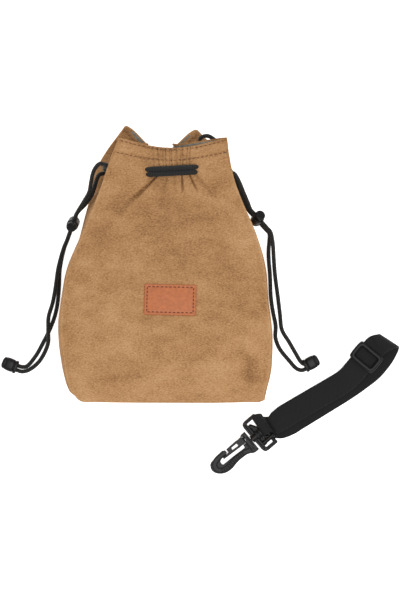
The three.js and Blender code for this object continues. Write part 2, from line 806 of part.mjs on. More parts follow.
function springSolid() {
  const low = springWellFloor + springSeat + springWire / 2;
  const high = -lockSlotHalfHeight - stemFoot - springSeat - springWire / 2;
  const steps = springTurns * springStepsPerTurn;
  const route = [];
  for (let i = 0; i <= steps; i += 1) {
    const angle = (2 * Math.PI * i) / springStepsPerTurn;
    const radius = springCoilDiameter / 2;
    route.push([radius * Math.cos(angle), radius * Math.sin(angle), mix(low, high, i / steps)]);
  }
  return tube(route, springWire, steps, springSides);
}

for (const [side, lock] of [['left', leftLock], ['right', rightLock]]) {
  const seat = new THREE.Matrix4().makeBasis(lock.along, lock.across, lock.axis).setPosition(lock.centre);
  place(`${side}_lock_body`, lockBodySolid().applyMatrix4(seat), satinPlastic);
  place(`${side}_lock_button`, plungerSolid().applyMatrix4(seat), satinPlastic);
  place(`${side}_lock_spring`, springSolid().applyMatrix4(seat), springSteel);
}

// The moulded cord ends, each with a pocket for its two strands.

function cordEnd(neckX, neckY, headingDegrees, upper, lower) {
  const outline = roundedOutline([
    [0, -cordEndWidth / 2, cordEndCorner], [cordEndLength, -cordEndFarWidth / 2, cordEndCorner],
    [cordEndLength, cordEndFarWidth / 2, cordEndCorner], [0, cordEndWidth / 2, cordEndCorner],
  ]);
  const block = plate(outline, cordEndThickness, cordEndRounding)
    .rotateZ(radians(headingDegrees))
    .translate(neckX, neckY, cordEndThickness / 2 + clearance);
  const pockets = [upper, lower].map((route) => {
    const [last, deeper] = [route.at(-1), beyond(route.at(-1), route.at(-2))[0]];
    return tube([...route.slice(0, -1), last, deeper], cordCut + clearance, strandSteps);
  });
  return cut(block, ...pockets);
}
const { left_upper_strand, left_lower_strand, right_upper_strand, right_lower_strand } = strandRoutes;
place(
  'left_cord_end',
  cordEnd(leftEndX, leftEndY, leftEndHeadingDegrees, left_upper_strand, left_lower_strand),
  satinPlastic,
);
place(
  'right_cord_end',
  cordEnd(rightEndX, rightEndY, rightEndHeadingDegrees, right_upper_strand, right_lower_strand),
  satinPlastic,
);

// The belt loop behind the pouch.

// The back panel's height, straight between its rows of points.
function backRowHeight(share) {
  const step = (1 - sideStartShare) / (panelRows - 1);
  const start = sideStartShare + step * Math.floor((share - sideStartShare) / step);
  return mix(backHeight(start), backHeight(start + step), (share - start) / step);
}

function beltLoop() {
  const stations = beltLoopShares.map((share) => {
    const y = beltLoopCentreY + beltLoopLength * (share - 0.5);
    const free = Math.min(share, 1 - share) * beltLoopLength - beltLoopSewnLength;
    const sag = beltLoopSlack * smoothStep(0, beltLoopSewnLength, free);
    return [-1, 1].map((side) => {
      const x = beltLoopCentreX + (side * beltLoopWidth) / 2;
      const [, rowShare] = onSurface(backPoint, x, y);
      return new THREE.Vector3(x, y, backRowHeight(rowShare) - clearance - sag);
    });
  });
  const lowered = stations.map((row) => row.map((p) => p.clone().setZ(p.z - beltLoopThickness)));
  return sheetSolid(lowered, stations);
}
place('belt_loop', beltLoop(), suede);

// The strap, laid as [along, aside, ply, turn in degrees]: along and aside in shares of its run.

const strapAlong = new THREE.Vector3(
  Math.cos(radians(sliderHeadingDegrees)),
  Math.sin(radians(sliderHeadingDegrees)),
  0,
);
const strapAside = new THREE.Vector3(-strapAlong.y, strapAlong.x, 0);
const sliderCentre = new THREE.Vector3(sliderCentreX, sliderCentreY, 0);
const plyHeight = (ply) => strapLift + webbingThickness / 2 + ply * (webbingThickness + clearance);

const strapRouteShares = [
  [-0.9107, 0.2279, 1, -18], [-0.9488, 0.2402, 1, -18], [-0.976, 0.2491, 1, -18],
  [-0.9819, 0.2511, 1.136, -18], [-0.9847, 0.2518, 1.5, -18], [-0.9819, 0.2511, 1.864, -18],
  [-0.976, 0.2491, 2, -18], [-0.9488, 0.2402, 2, -18], [-0.8836, 0.2192, 2, -18],
  [-0.6622, 0.1416, 2, -19], [-0.4783, 0.075, 2, -19], [-0.3696, 0.0364, 2.107, -16],
  [-0.2717, 0.0087, 3.179, -9], [-0.1739, 0, 4.607, -1], [-0.1304, 0, 4.643, 0], [-0.0435, 0, 4.643, 0],
  [0.0435, 0, 4.643, 0], [0.1033, 0, 4.643, 0], [0.1413, -0.0043, 4.893, -2],
  [0.1902, -0.0217, 6.179, 3], [0.2304, -0.0489, 5.75, 6], [0.2435, -0.0652, 3.607, 7],
  [0.2239, -0.0826, 1.321, 4], [0.1891, -0.0946, 0.357, 0], [0.1446, -0.1054, 0.05, -2],
  [0.087, -0.113, 0.008, -5], [-0.0435, -0.113, 0, -10], [-0.1848, -0.0848, 0, -14],
  [-0.3272, -0.0465, 0, -16], [-0.5283, 0.019, 0, -18], [-0.7283, 0.0857, 0, -18],
  [-0.8152, 0.1152, 0, -18], [-0.913, 0.1561, 0, -17], [-0.9946, 0.2465, 0.05, -10],
  [-1.038, 0.2946, 0.221, -9.5], [-1.0674, 0.3022, 0.357, -9.5], [-1.0852, 0.3051, 0.85, -9.5],
  [-1.0924, 0.3065, 2.036, -9.5], [-1.0852, 0.3051, 3.221, -9.5], [-1.0674, 0.3022, 3.714, -9.5],
  [-1.0391, 0.2978, 3.321, -9.5], [-1.0174, 0.2946, 1.964, -9.5], [-1.0022, 0.2924, 1.107, -9.5],
];
const tabRouteShares = [
  [-0.1848, 0, 2, 0], [-0.087, 0, 2, 0], [-0.038, 0, 3.179, 0], [-0.013, 0, 3.607, 0], [0, 0, 3.643, 0],
  [0.0142, 0, 3.257, 0], [0.0201, 0, 2.321, 0], [0.0142, 0, 1.386, 0], [0, 0, 1, 0], [-0.0435, 0, 1, 0],
  [-0.2065, 0, 1, 0],
];
const bandStepsPerRow = 2;

// A flat band of webbing along its route.
function band(route) {
  const points = route.map(([along, aside, ply]) =>
    sliderCentre
      .clone()
      .addScaledVector(strapAlong, strapRun * along)
      .addScaledVector(strapAside, strapRun * aside)
      .setZ(plyHeight(ply)),
  );
  const curve = new THREE.CatmullRomCurve3(points, false, 'centripetal');
  const rings = [];
  const stations = (route.length - 1) * bandStepsPerRow;
  for (let i = 0; i <= stations; i += 1) {
    const at = i / stations;
    const row = Math.min(route.length - 2, Math.floor(i / bandStepsPerRow));
    const turn = radians(mix(route[row][3], route[row + 1][3], i / bandStepsPerRow - row));
    const wide = strapAside
      .clone()
      .applyAxisAngle(new THREE.Vector3(0, 0, 1), turn)
      .multiplyScalar(webbingWidth / 2);
    const thick = curve.getTangent(at).cross(wide).setLength(webbingThickness / 2);
    const middle = curve.getPoint(at);
    rings.push([
      middle.clone().add(wide).add(thick),
      middle.clone().add(wide).sub(thick),
      middle.clone().sub(wide).sub(thick),
      middle.clone().sub(wide).add(thick),
    ]);
  }
  return skin(rings);
}
place('strap_webbing', band(strapRouteShares), webbing);
place('strap_end_tab', band(tabRouteShares), webbing);

// The slider: a ring over the webbing, cheeks beside it and a bar under it.

function sliderSolid() {
  const width = sliderInnerWidth + 2 * sliderRail;
  const rectangle = (long, wide, rounding) => [
    [-long / 2, -wide / 2, rounding], [long / 2, -wide / 2, rounding],
    [long / 2, wide / 2, rounding], [-long / 2, wide / 2, rounding],
  ];
  const outline = roundedOutline(rectangle(sliderLength, width, sliderCornerRadius));
  const windowLength = sliderLength - 2 * sliderBar;
  outline.holes.push(roundedOutline(rectangle(windowLength, sliderInnerWidth, sliderBevel), THREE.Path));
  const cheekTop = sliderBottom + sliderThickness / 2;
  const ring = plate(outline, sliderThickness, sliderBevel).translate(0, 0, cheekTop);
  const cheekTopLength = sliderLength - 2 * sliderCornerRadius;
  const cheek = roundedOutline([
    [-sliderCheekFootLength / 2, sliderCheekFoot, sliderBevel],
    [sliderCheekFootLength / 2, sliderCheekFoot, sliderBevel],
    [cheekTopLength / 2, cheekTop, 0], [-cheekTopLength / 2, cheekTop, 0],
  ]);
  const cheekAt = (side) =>
    plate(cheek, sliderRail, 0)
      .rotateX(Math.PI / 2)
      .translate(0, (side * (sliderInnerWidth + sliderRail)) / 2, 0);
  const reach = (sliderInnerWidth + sliderRail) / 2;
  const bar = barAlongX(-reach, reach, sliderCentreBar)
    .rotateZ(Math.PI / 2)
    .translate(0, 0, sliderCentreBarHeight);
  return join(ring, cheekAt(-1), cheekAt(1), bar);
}
place(
  'strap_slider',
  sliderSolid().rotateZ(radians(sliderHeadingDegrees)).translate(sliderCentreX, sliderCentreY, 0),
  satinPlastic,
);

// The snap hook: a swivelling loop, the hook and its gate.

const onHook = (geometry) =>
  geometry.rotateZ(radians(hookHeadingDegrees)).translate(hookOriginX, hookOriginY, hookLevel);

function swivelLoop() {
  const half = loopInnerWidth / 2;
  const outer = half + loopArm;
  const back = -loopThickness / 2;
  const front = loopInnerLength + loopFrontBar;
  const frame = roundedOutline([
    [back, -outer, 2 * loopBevel], [front, -outer, loopCornerRadius], [front, outer, loopCornerRadius],
    [back, outer, 2 * loopBevel], [back, half, 2 * loopBevel], [loopInnerLength, half, loopBevel],
    [loopInnerLength, -half, loopBevel], [back, -half, 2 * loopBevel],
  ]);
  const reach = half + loopArm / 2;
  const farBar = barAlongX(-reach, reach, hookBarDiameter).rotateZ(Math.PI / 2);
  const postEnd = loopHubEnd + swivelPostLength;
  const post = barAlongX(loopHubEnd - loopFrontBar, postEnd, swivelPostDiameter);
  const head = barAlongX(postEnd, postEnd + swivelHeadLength, swivelHeadDiameter);
  const hub = barAlongX(loopHubStart, loopHubEnd, loopHubDiameter);
  return join(plate(frame, loopThickness, loopBevel), farBar, hub, post, head);
}

// Hook and gate outlines in shares of the hook's length: [along, aside, rounding].
const hookOutlineShares = [
  [0.3309, -0.1591, 0], [0.2532, -0.1591, 0], [0.2532, 0.1772, 0.0145], [0.3418, 0.1772, 0.0362],
  [0.4195, 0.1193, 0.0542], [0.6148, 0.1085, 0.0904], [0.754, 0.1447, 0.0723], [0.9042, 0.1157, 0.1085],
  [1.009, -0.009, 0.1266], [0.9584, -0.141, 0.0723], [0.651, -0.1465, 0.0163], [0.651, -0.0859, 0.0163],
  [0.7414, -0.0832, 0.0181], [0.8174, -0.0597, 0.0289], [0.8174, 0.0072, 0.0217],
  [0.5967, 0.0108, 0.0145], [0.4014, 0.0235, 0.0072],
];
const gateOutlineShares = [
  [0.434, -0.1411, 0.0181], [0.6311, -0.1374, 0.0145], [0.6329, -0.0805, 0.0054],
  [0.7468, -0.0759, 0.0127], [0.7468, -0.047, 0.0127], [0.5515, -0.0344, 0.0181], [0.434, -0.0271, 0.0181],
];
const gateSlitShares = [
  [0.4557, -0.1031, 0.009], [0.4557, -0.0615, 0.009], [0.566, -0.0706, 0.0072],
  [0.5551, -0.1049, 0.0072],
];
const hookShoulderShare = 0.15;
const knuckleSteps = 8;

const inHook = (rows) => rows.map((row) => row.map((share) => share * hookLength));

// Places round the gate's knuckle, from one angle to another.
function knuckleArc(radius, startDegrees, endDegrees) {
  const places = [];
  for (let i = 0; i <= knuckleSteps; i += 1) {
    const angle = radians(mix(startDegrees, endDegrees, i / knuckleSteps));
    places.push([gateKnuckleX + radius * Math.cos(angle), gateKnuckleY + radius * Math.sin(angle), 0]);
  }
  return places;
}

function hookSolid() {
  const radius = gateKnuckleDiameter / 2 + clearance;
  const outline = roundedOutline([...inHook(hookOutlineShares), ...knuckleArc(radius, 74, 222)]);
  const blockHalf = hookLength * hookShoulderShare;
  const block = plate(
    roundedOutline([
      [hookBlockStart, -blockHalf, 2 * hookBevel], [hookBlockEnd, -blockHalf, 2 * hookBevel],
      [hookBlockEnd, blockHalf, 2 * hookBevel], [hookBlockStart, blockHalf, 2 * hookBevel],
    ]),
    hookBlockThickness,
    hookBevel,
  );
  const seat = barAlongX(-hookBlockThickness, hookBlockThickness, 2 * radius)
    .rotateY(Math.PI / 2)
    .translate(gateKnuckleX, gateKnuckleY, 0);
  const headStart = loopHubEnd + swivelPostLength - clearance;
  const headEnd = loopHubEnd + swivelPostLength + swivelHeadLength + clearance;
  const bore = barAlongX(loopHubEnd, headEnd, swivelPostDiameter + 2 * clearance);
  const chamber = barAlongX(headStart, headEnd, swivelHeadDiameter + 2 * clearance);
  return cut(join(plate(outline, hookThickness, hookBevel), block), seat, bore, chamber);
}

function gateSolid() {
  const outline = roundedOutline([
    ...knuckleArc(gateKnuckleDiameter / 2, 60, 300),
    ...inHook(gateOutlineShares),
  ]);
  outline.holes.push(roundedOutline(inHook(gateSlitShares), THREE.Path));
  return plate(outline, gateThickness, gateBevel);
}

place('swivel_loop', onHook(swivelLoop()), satinPlastic);
place('snap_hook', onHook(hookSolid()), satinPlastic);
place('hook_gate', onHook(gateSolid()), satinPlastic);

export default model;
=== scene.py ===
# %% [markdown]
# A suede drawstring pouch for a camera lens lies on its back on a pale table, its loose
# strap beside it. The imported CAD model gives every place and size. Each cell below
# dresses one piece of it: first come the camera, the materials and the cords, then the
# cloth, the mouldings and the strap, and last the floor and the light.

# %% Load the frame
import functools
import math

import bmesh
import bpy
from mathutils import Matrix, Vector, noise


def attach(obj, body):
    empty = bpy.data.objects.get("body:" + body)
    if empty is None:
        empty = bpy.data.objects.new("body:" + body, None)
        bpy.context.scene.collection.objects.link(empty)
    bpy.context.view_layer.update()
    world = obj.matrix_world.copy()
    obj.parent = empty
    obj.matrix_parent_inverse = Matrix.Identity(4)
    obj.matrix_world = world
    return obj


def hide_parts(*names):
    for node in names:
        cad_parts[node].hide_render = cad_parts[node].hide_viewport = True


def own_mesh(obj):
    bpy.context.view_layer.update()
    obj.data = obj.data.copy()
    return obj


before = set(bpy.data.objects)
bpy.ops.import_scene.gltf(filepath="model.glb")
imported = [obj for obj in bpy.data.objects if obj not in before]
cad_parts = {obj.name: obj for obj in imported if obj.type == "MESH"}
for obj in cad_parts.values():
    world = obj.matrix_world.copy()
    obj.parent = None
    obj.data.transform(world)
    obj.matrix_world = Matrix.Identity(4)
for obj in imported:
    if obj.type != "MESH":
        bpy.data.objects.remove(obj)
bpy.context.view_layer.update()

MM = 0.001
print("nodes in the frame:", len(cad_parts))

# %% [markdown]
# The photograph was taken from straight above with a long lens, so nothing leans. The
# camera hangs 2.4 m over the table, and its focal length is set so that 600 pixels
# span 492 mm of the table top.

# %% Camera
VIEW_CENTRE = (28.3, -24.6)
VIEW_HEIGHT = 492
CAMERA_DISTANCE = 2400
SENSOR = 36

camera_data = bpy.data.cameras.new("camera")
camera_data.sensor_width = SENSOR
camera_data.lens = SENSOR * CAMERA_DISTANCE / VIEW_HEIGHT
camera_data.clip_end = 20
camera = bpy.data.objects.new("camera", camera_data)
camera.location = (VIEW_CENTRE[0] * MM, VIEW_CENTRE[1] * MM, CAMERA_DISTANCE * MM)
bpy.context.scene.collection.objects.link(camera)
bpy.context.scene.camera = camera
print("lens", round(camera_data.lens, 1), "mm")

# %% [markdown]
# Every material starts the same way: a Principled shader, and a small function that
# adds one node with its settings and links. Colours are written as sRGB hex values and
# turned to linear light in one place.

# %% Small helpers for materials


def linear(hex_colour):
    values = [int(hex_colour[i : i + 2], 16) / 255 for i in (1, 3, 5)]
    return [v / 12.92 if v < 0.04045 else ((v + 0.055) / 1.055) ** 2.4 for v in values] + [1]


def add_node(tree, kind, links=None, **settings):
    """Adds a node; links maps an input's name or number to the socket that feeds it."""
    node = tree.nodes.new(kind)
    for name, value in settings.items():
        if name in node.inputs and not hasattr(node, name):
            node.inputs[name].default_value = value
        else:
            setattr(node, name, value)
    for name, source in (links or {}).items():
        if hasattr(source, "links"):
            tree.links.new(source, node.inputs[name])
        else:
            node.inputs[name].default_value = source
    return node


def new_material(name, colour, roughness, **shader_values):
    material = bpy.data.materials.new(name)
    material.use_nodes = True
    shader = material.node_tree.nodes["Principled BSDF"]
    shader.inputs["Base Color"].default_value = linear(colour)
    shader.inputs["Roughness"].default_value = roughness
    for key, value in shader_values.items():
        shader.inputs[key.replace("_", " ")].default_value = value
    return material, material.node_tree, shader


print("sRGB #808080 is", round(linear("#808080")[0], 3), "in linear light")

# %% [markdown]
# Suede is leather whose inner side was sanded until it has a short nap. Brushed one way
# the nap is light, the other way dark, which gives soft blotches some 30 to 60 mm
# across, and under them the single tufts of fibre. The tufts are drawn at 1.1 mm,
# coarser than the real 0.2 mm, so that they still show in the render. The tone layer of
# a panel paints shade into its creases and other shaded places as darker colour, and
# makes its seam edges lighter. The lining is grey plush, whose deeper pile is made in
# the same way.

# %% Suede
BLOTCH = 44
NAP_STREAK = 11
TUFT = 1.1
NAP_RANGE = (0.45, 1.33)


def napped_material(name, dark, middle, light, blotch, tuft, bump_height, sheen):
    material, tree, shader = new_material(name, middle, 0.95)
    shader.inputs["Sheen Weight"].default_value = sheen
    shader.inputs["Sheen Roughness"].default_value = 0.6
    shader.inputs["Sheen Tint"].default_value = linear(light)
    shader.inputs["Specular IOR Level"].default_value = 0.12
    place = add_node(tree, "ShaderNodeTexCoord").outputs["Object"]
    brushed = add_node(
        tree, "ShaderNodeMapping", {"Vector": place}, Scale=(0.75, 1.25, 1), Rotation=(0, 0, 0.5)
    )
    cloud, streak, fibre = (
        add_node(
            tree,
            "ShaderNodeTexNoise",
            {"Vector": brushed.outputs[0], "Scale": 1000 / size, "Detail": detail, "Roughness": 0.6},
        )
        for size, detail in ((blotch, 2.0), (NAP_STREAK, 4.0), (tuft, 2.0))
    )
    # The tone layer holds painted shade for creases, patches and side panels, and lighter seam edges.
    tone_and_painted_shade = add_node(tree, "ShaderNodeAttribute", attribute_name="tone")
    total = 0
    for layer, weight in ((streak, 0.35), (cloud, 0.5), (fibre, 0.95), (tone_and_painted_shade, 0.4)):
        links = {0: layer.outputs["Fac"], 1: weight, 2: total}
        total = add_node(tree, "ShaderNodeMath", links, operation="MULTIPLY_ADD").outputs[0]
    low, high = NAP_RANGE
    spread = add_node(
        tree, "ShaderNodeMapRange", {"Value": total, "From Min": low, "From Max": high}
    )
    ramp = add_node(tree, "ShaderNodeValToRGB", {"Fac": spread.outputs[0]})
    stops = ramp.color_ramp.elements
    stops[0].position, stops[0].color = 0.02, linear(dark)
    stops[1].position, stops[1].color = 0.98, linear(light)
    stops.new(0.5).color = linear(middle)
    tree.links.new(ramp.outputs["Color"], shader.inputs["Base Color"])
    bump = add_node(
        tree,
        "ShaderNodeBump",
        {"Height": fibre.outputs["Fac"], "Strength": 0.5, "Distance": bump_height * MM},
    )
    tree.links.new(bump.outputs["Normal"], shader.inputs["Normal"])
    return material


suede = napped_material(
    "sanded suede", "#6E4B2C", "#AC8157", "#C9A37A", BLOTCH, TUFT, bump_height=0.25, sheen=0.2
)
plush = napped_material(
    "grey plush lining", "#57534C", "#7A766D", "#A09C92", 14, 1.6, bump_height=0.9, sheen=0.3
)
print("nap tufts", TUFT, "mm, blotches", BLOTCH, "mm")

# %% [markdown]
# The smaller finishes: saddle leather with a fine pebble grain for the label, brown and
# rust sewing thread, bright drawn steel for the springs, and satin black nylon, which is
# moulded and so has a faint orange-peel surface. All have a small grain that varies their
# tone and lifts their surface a little.

# %% Leather, thread, plastic and steel


def grained_material(name, colour, roughness, grain, depth, **shader_values):
    material, tree, shader = new_material(name, colour, roughness, **shader_values)
    place = add_node(tree, "ShaderNodeTexCoord").outputs["Object"]
    cells = add_node(tree, "ShaderNodeTexVoronoi", {"Vector": place, "Scale": 1000 / grain})
    cloud = add_node(tree, "ShaderNodeTexNoise", {"Vector": place, "Scale": 400 / grain, "Detail": 4.0})
    mix = add_node(
        tree,
        "ShaderNodeMath",
        {0: cells.outputs["Distance"], 1: 0.5, 2: cloud.outputs["Fac"]},
        operation="MULTIPLY_ADD",
    )
    bump = add_node(
        tree, "ShaderNodeBump", {"Height": mix.outputs[0], "Strength": 0.4, "Distance": depth * MM}
    )
    tree.links.new(bump.outputs["Normal"], shader.inputs["Normal"])
    shade = add_node(
        tree,
        "ShaderNodeMapRange",
        {"Value": cloud.outputs["Fac"], "From Min": 0.3, "From Max": 0.7, "To Min": 0.86, "To Max": 1.1},
    )
    tone = add_node(tree, "ShaderNodeHueSaturation", {"Value": shade.outputs[0], "Color": linear(colour)})
    tree.links.new(tone.outputs["Color"], shader.inputs["Base Color"])
    return material


leather = grained_material("saddle leather", "#B56B43", 0.5, grain=0.9, depth=0.15, Specular_IOR_Level=0.3)
suede_thread = grained_material("brown polyester thread", "#6E4A2C", 0.6, grain=0.3, depth=0.05)
label_thread = grained_material("rust polyester thread", "#6E3018", 0.6, grain=0.3, depth=0.05)
nylon = grained_material(
    "moulded satin nylon", "#0A0A0B", 0.44, grain=0.7, depth=0.04, Specular_IOR_Level=0.25
)
spring_steel = grained_material("drawn spring steel", "#A8A8AA", 0.25, grain=0.4, depth=0.01, Metallic=1.0)
grained = (leather, suede_thread, label_thread, nylon, spring_steel)
print("grained:", ", ".join(material.name for material in grained))

# %% [markdown]
# Braid and webbing follow their own pieces, so their patterns read the UV map, which is
# laid out in millimetres: U across or around, V along. A braid is two sets of strands
# that cross each other at a slant, and webbing is woven in ribs.

# %% Braid and webbing


def woven_material(name, colour, light, across_mm, along_mm, slanted, depth):
    material, tree, shader = new_material(name, colour, 0.7)
    shader.inputs["Sheen Weight"].default_value = 0.06
    shader.inputs["Specular IOR Level"].default_value = 0.22
    laid = add_node(tree, "ShaderNodeTexCoord").outputs["UV"]
    parts = add_node(tree, "ShaderNodeSeparateXYZ", {"Vector": laid})
    angles = []
    for axis, size in (("X", across_mm), ("Y", along_mm)):
        links = {0: parts.outputs[axis], 1: 2 * math.pi / size}
        angles.append(add_node(tree, "ShaderNodeMath", links, operation="MULTIPLY"))
    if slanted:
        pair = {0: angles[0].outputs[0], 1: angles[1].outputs[0]}
        angles = [add_node(tree, "ShaderNodeMath", pair, operation=way) for way in ("ADD", "SUBTRACT")]
    waves = [add_node(tree, "ShaderNodeMath", {0: a.outputs[0]}, operation="SINE") for a in angles]
    weave = add_node(
        tree, "ShaderNodeMath", {0: waves[0].outputs[0], 1: waves[1].outputs[0]}, operation="MULTIPLY"
    )
    tone = add_node(
        tree, "ShaderNodeMapRange", {"Value": weave.outputs[0], "From Min": -1.0, "From Max": 1.0}
    )
    blend = add_node(tree, "ShaderNodeMix", {"Factor": tone.outputs[0]}, data_type="RGBA")
    blend.inputs[6].default_value = linear(colour)
    blend.inputs[7].default_value = linear(light)
    tree.links.new(blend.outputs[2], shader.inputs["Base Color"])
    bump = add_node(
        tree, "ShaderNodeBump", {"Height": weave.outputs[0], "Strength": 0.6, "Distance": depth * MM}
    )
    tree.links.new(bump.outputs["Normal"], shader.inputs["Normal"])
    return material


CORD_DIAMETER = 3.4
PLAITS = 8
PLAIT_WIDTH = 10.7 / PLAITS
braid = woven_material(
    "black polyester braid", "#0C0C0D", "#303231", PLAIT_WIDTH, 2.4, slanted=True, depth=0.3
)
webbing = woven_material(
    "black woven webbing", "#0B0B0C", "#1F1F21", 1.6, 1.2, slanted=False, depth=0.25
)
print("the braid has", PLAITS, "strands round a cord of", CORD_DIAMETER, "mm")

# %% [markdown]
# Cloth, cords and webbing all start as the same thing: a flat grid whose points are
# moved to their places. The grid's UV map is rewritten in millimetres, so a weave keeps
# its real size wherever the piece bends. A layer named tone makes the nap lighter, above
# 0, or darker, below 0; most of its dark is painted shade.

# %% A grid moved into place


def mix(a, b, share):
    return a + (b - a) * share


def smooth_step(low, high, value):
    s = min(1, max(0, (value - low) / (high - low)))
    return s * s * (3 - 2 * s)


def finish_mesh(bm, name, material, body, node=None):
    """Makes the piece, which rides on a body and may stand for the CAD model's own node."""
    mesh = bpy.data.meshes.new(name)
    bm.to_mesh(mesh)
    bm.free()
    for face in mesh.polygons:
        face.use_smooth = True
    mesh.materials.append(material)
    piece = bpy.data.objects.new(name, mesh)
    bpy.context.scene.collection.objects.link(piece)
    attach(piece, body)
    if node:
        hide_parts(node)
    print(name, "on", body, len(mesh.polygons), "faces")
    return piece


def laid_grid(columns, rows, place, uv_size=(1, 1), closed=False, tone=None, bm=None):
    """A grid whose point (u, v), each from 0 to 1, goes to place(u, v) in millimetres."""
    bm = bm or bmesh.new()
    uvs = bm.loops.layers.uv.verify()
    tones = bm.verts.layers.float.get("tone") or bm.verts.layers.float.new("tone")
    made = bmesh.ops.create_grid(bm, x_segments=columns, y_segments=rows, size=0.5, calc_uvs=True)
    for face in {face for vert in made["verts"] for face in vert.link_faces}:
        for loop in face.loops:
            flat = loop.vert.co
            loop[uvs].uv = ((flat.x + 0.5) * uv_size[0], (flat.y + 0.5) * uv_size[1])
    for vert in made["verts"]:
        u, v = min(1, max(0, vert.co.x + 0.5)), min(1, max(0, vert.co.y + 0.5))
        vert.co = place(u, v) * MM
        vert[tones] = tone(u, v) if tone else 0
    if closed:
        close_up(bm, made["verts"])
    return bm


def close_up(bm, verts):
    """Welds a rolled-up grid along its seam, closes its open ends and turns its faces outwards."""
    bmesh.ops.remove_doubles(bm, verts=verts, dist=1e-6)
    bmesh.ops.holes_fill(bm, edges=[edge for edge in bm.edges if edge.is_boundary], sides=0)
    bmesh.ops.recalc_face_normals(bm, faces=bm.faces)


# %% [markdown]
# Cords, stitches, webbing and ribs all follow routes, which are short lists of points. A
# smooth line through the points is cut into even steps, in millimetres.

# %% Smooth routes
CURVE_STEPS = 24


def curve_between(start, leave, end, arrive, s):
    """A cubic curve from start to end, with the given slopes at both."""
    return (
        start * (2 * s**3 - 3 * s**2 + 1)
        + leave * (s**3 - 2 * s**2 + s)
        + end * (3 * s**2 - 2 * s**3)
        + arrive * (s**3 - s**2)
    )


def smooth_route(points, step):
    """Even steps along a centripetal Catmull-Rom line through the points, in millimetres."""
    knots = [Vector(p) for p in points]
    line = []
    for i in range(len(knots) - 1):
        b, c = knots[i], knots[i + 1]
        a = knots[i - 1] if i else b * 2 - c
        d = knots[i + 2] if i + 2 < len(knots) else c * 2 - b
        t = [math.sqrt(max(1e-6, (y - x).length)) for x, y in ((a, b), (b, c), (c, d))]
        leave = (b - a) / t[0] - (c - a) / (t[0] + t[1]) + (c - b) / t[1]
        arrive = (c - b) / t[1] - (d - b) / (t[1] + t[2]) + (d - c) / t[2]
        for k in range(CURVE_STEPS):
            line.append(curve_between(b, leave * t[1], c, arrive * t[1], k / CURVE_STEPS))
    line.append(knots[-1])
    lengths = [0]
    for p, q in zip(line, line[1:]):
        lengths.append(lengths[-1] + (q - p).length)
    count = max(2, round(lengths[-1] / step))
    even, j = [], 0
    for i in range(count + 1):
        want = lengths[-1] * i / count
        while j < len(line) - 2 and lengths[j + 1] < want:
            j += 1
        span = max(1e-9, lengths[j + 1] - lengths[j])
        even.append(line[j].lerp(line[j + 1], (want - lengths[j]) / span))
    return even, lengths[-1]


print("a straight 10 mm route has", len(smooth_route([(0, 0, 0), (10, 0, 0)], 1)[0]), "points 1 mm apart")

# %% [markdown]
# A cord is a ring of points carried along its route and never twisted, which makes it a
# soft tube. Where it is pulled flat over the bare middle of the front it is a bit wider.

# %% A cord


def tube_frames(line):
    """A pair of directions across the line at each point, turned as little as possible."""
    ways = []
    for i in range(len(line)):
        ways.append((line[min(i + 1, len(line) - 1)] - line[max(i - 1, 0)]).normalized())
    side = ways[0].orthogonal().normalized()
    pairs = []
    for way in ways:
        side = (side - way * side.dot(way)).normalized()
        pairs.append((side, way.cross(side)))
    return pairs


CORD_SIDES = 14
BARE_MIDDLE = 5.5
BARE_REACH = (17, 23)


def cord_tube(name, points, material, body, node, swell=1, diameter=CORD_DIAMETER, step=1.6):
    """A cord along its route; swell widens it where it lies bare across the pouch's middle."""
    line, length = smooth_route(points, step)
    pairs = tube_frames(line)
    rows = len(line) - 1

    def place(u, v):
        i = round(v * rows)
        angle = 2 * math.pi * u
        bare = 1 - smooth_step(*BARE_REACH, abs(line[i].x - BARE_MIDDLE))
        radius = diameter / 2 * mix(1, swell, bare)
        side, other = pairs[i]
        return line[i] + (side * math.cos(angle) + other * math.sin(angle)) * radius

    bm = laid_grid(CORD_SIDES, rows, place, (math.pi * diameter, length), closed=True)
    return finish_mesh(bm, name, material, body, node), line, length


print("a cord has", CORD_SIDES, "sides")

# %% [markdown]
# Two black cords run through holes in the neck, one loop from each side, and leave it in
# pairs. Their routes repeat the CAD model's points, but for two places: beyond the left
# lock the strands lie side by side, and the left loop's end above the rim is pulled in a
# little. Near each lock the two strands run straight, one above the other, so the route
# asks the lock for its place and direction.

# %% The cords' routes
CLEARANCE = 0.3
CORD_SPACING = 3.7
STRAIGHT_RUN = (-9, -5.5, 11.5, 15)


class Lock:
    """A cord lock's place, the way its cords run and the way its button points."""

    def __init__(self, centre, heading, descent, roll):
        turn, fall, lean = (math.radians(v) for v in (heading, descent, roll))
        self.centre = Vector(centre)
        level = Vector((math.cos(turn), math.sin(turn), 0))
        self.along = level * math.cos(fall) - Vector((0, 0, math.sin(fall)))
        up = level * math.sin(fall) + Vector((0, 0, math.cos(fall)))
        self.axis = up * math.cos(lean) + up.cross(self.along) * math.sin(lean)

    def seat(self):
        """Turns a piece built upright at the origin, cords along X, into its place."""
        across = self.axis.cross(self.along)
        turn = Matrix((self.along, across, self.axis)).transposed().to_4x4()
        return Matrix.Translation(self.centre) @ turn


LEFT_LOCK = Lock((-75.4, 37.7, 9.3), heading=-110.7, descent=22, roll=0)
RIGHT_LOCK = Lock((75.2, 41.6, 12.8), heading=-48, descent=-4, roll=23)


def through_lock(lock, side):
    aside = lock.axis * (side * CORD_SPACING / 2)
    return [lock.centre + lock.along * at + aside for at in STRAIGHT_RUN]


def beyond(end, before):
    out = (Vector(end) - Vector(before)).normalized()
    return [Vector(end) + out * CLEARANCE, Vector(end) + out * CORD_DIAMETER]


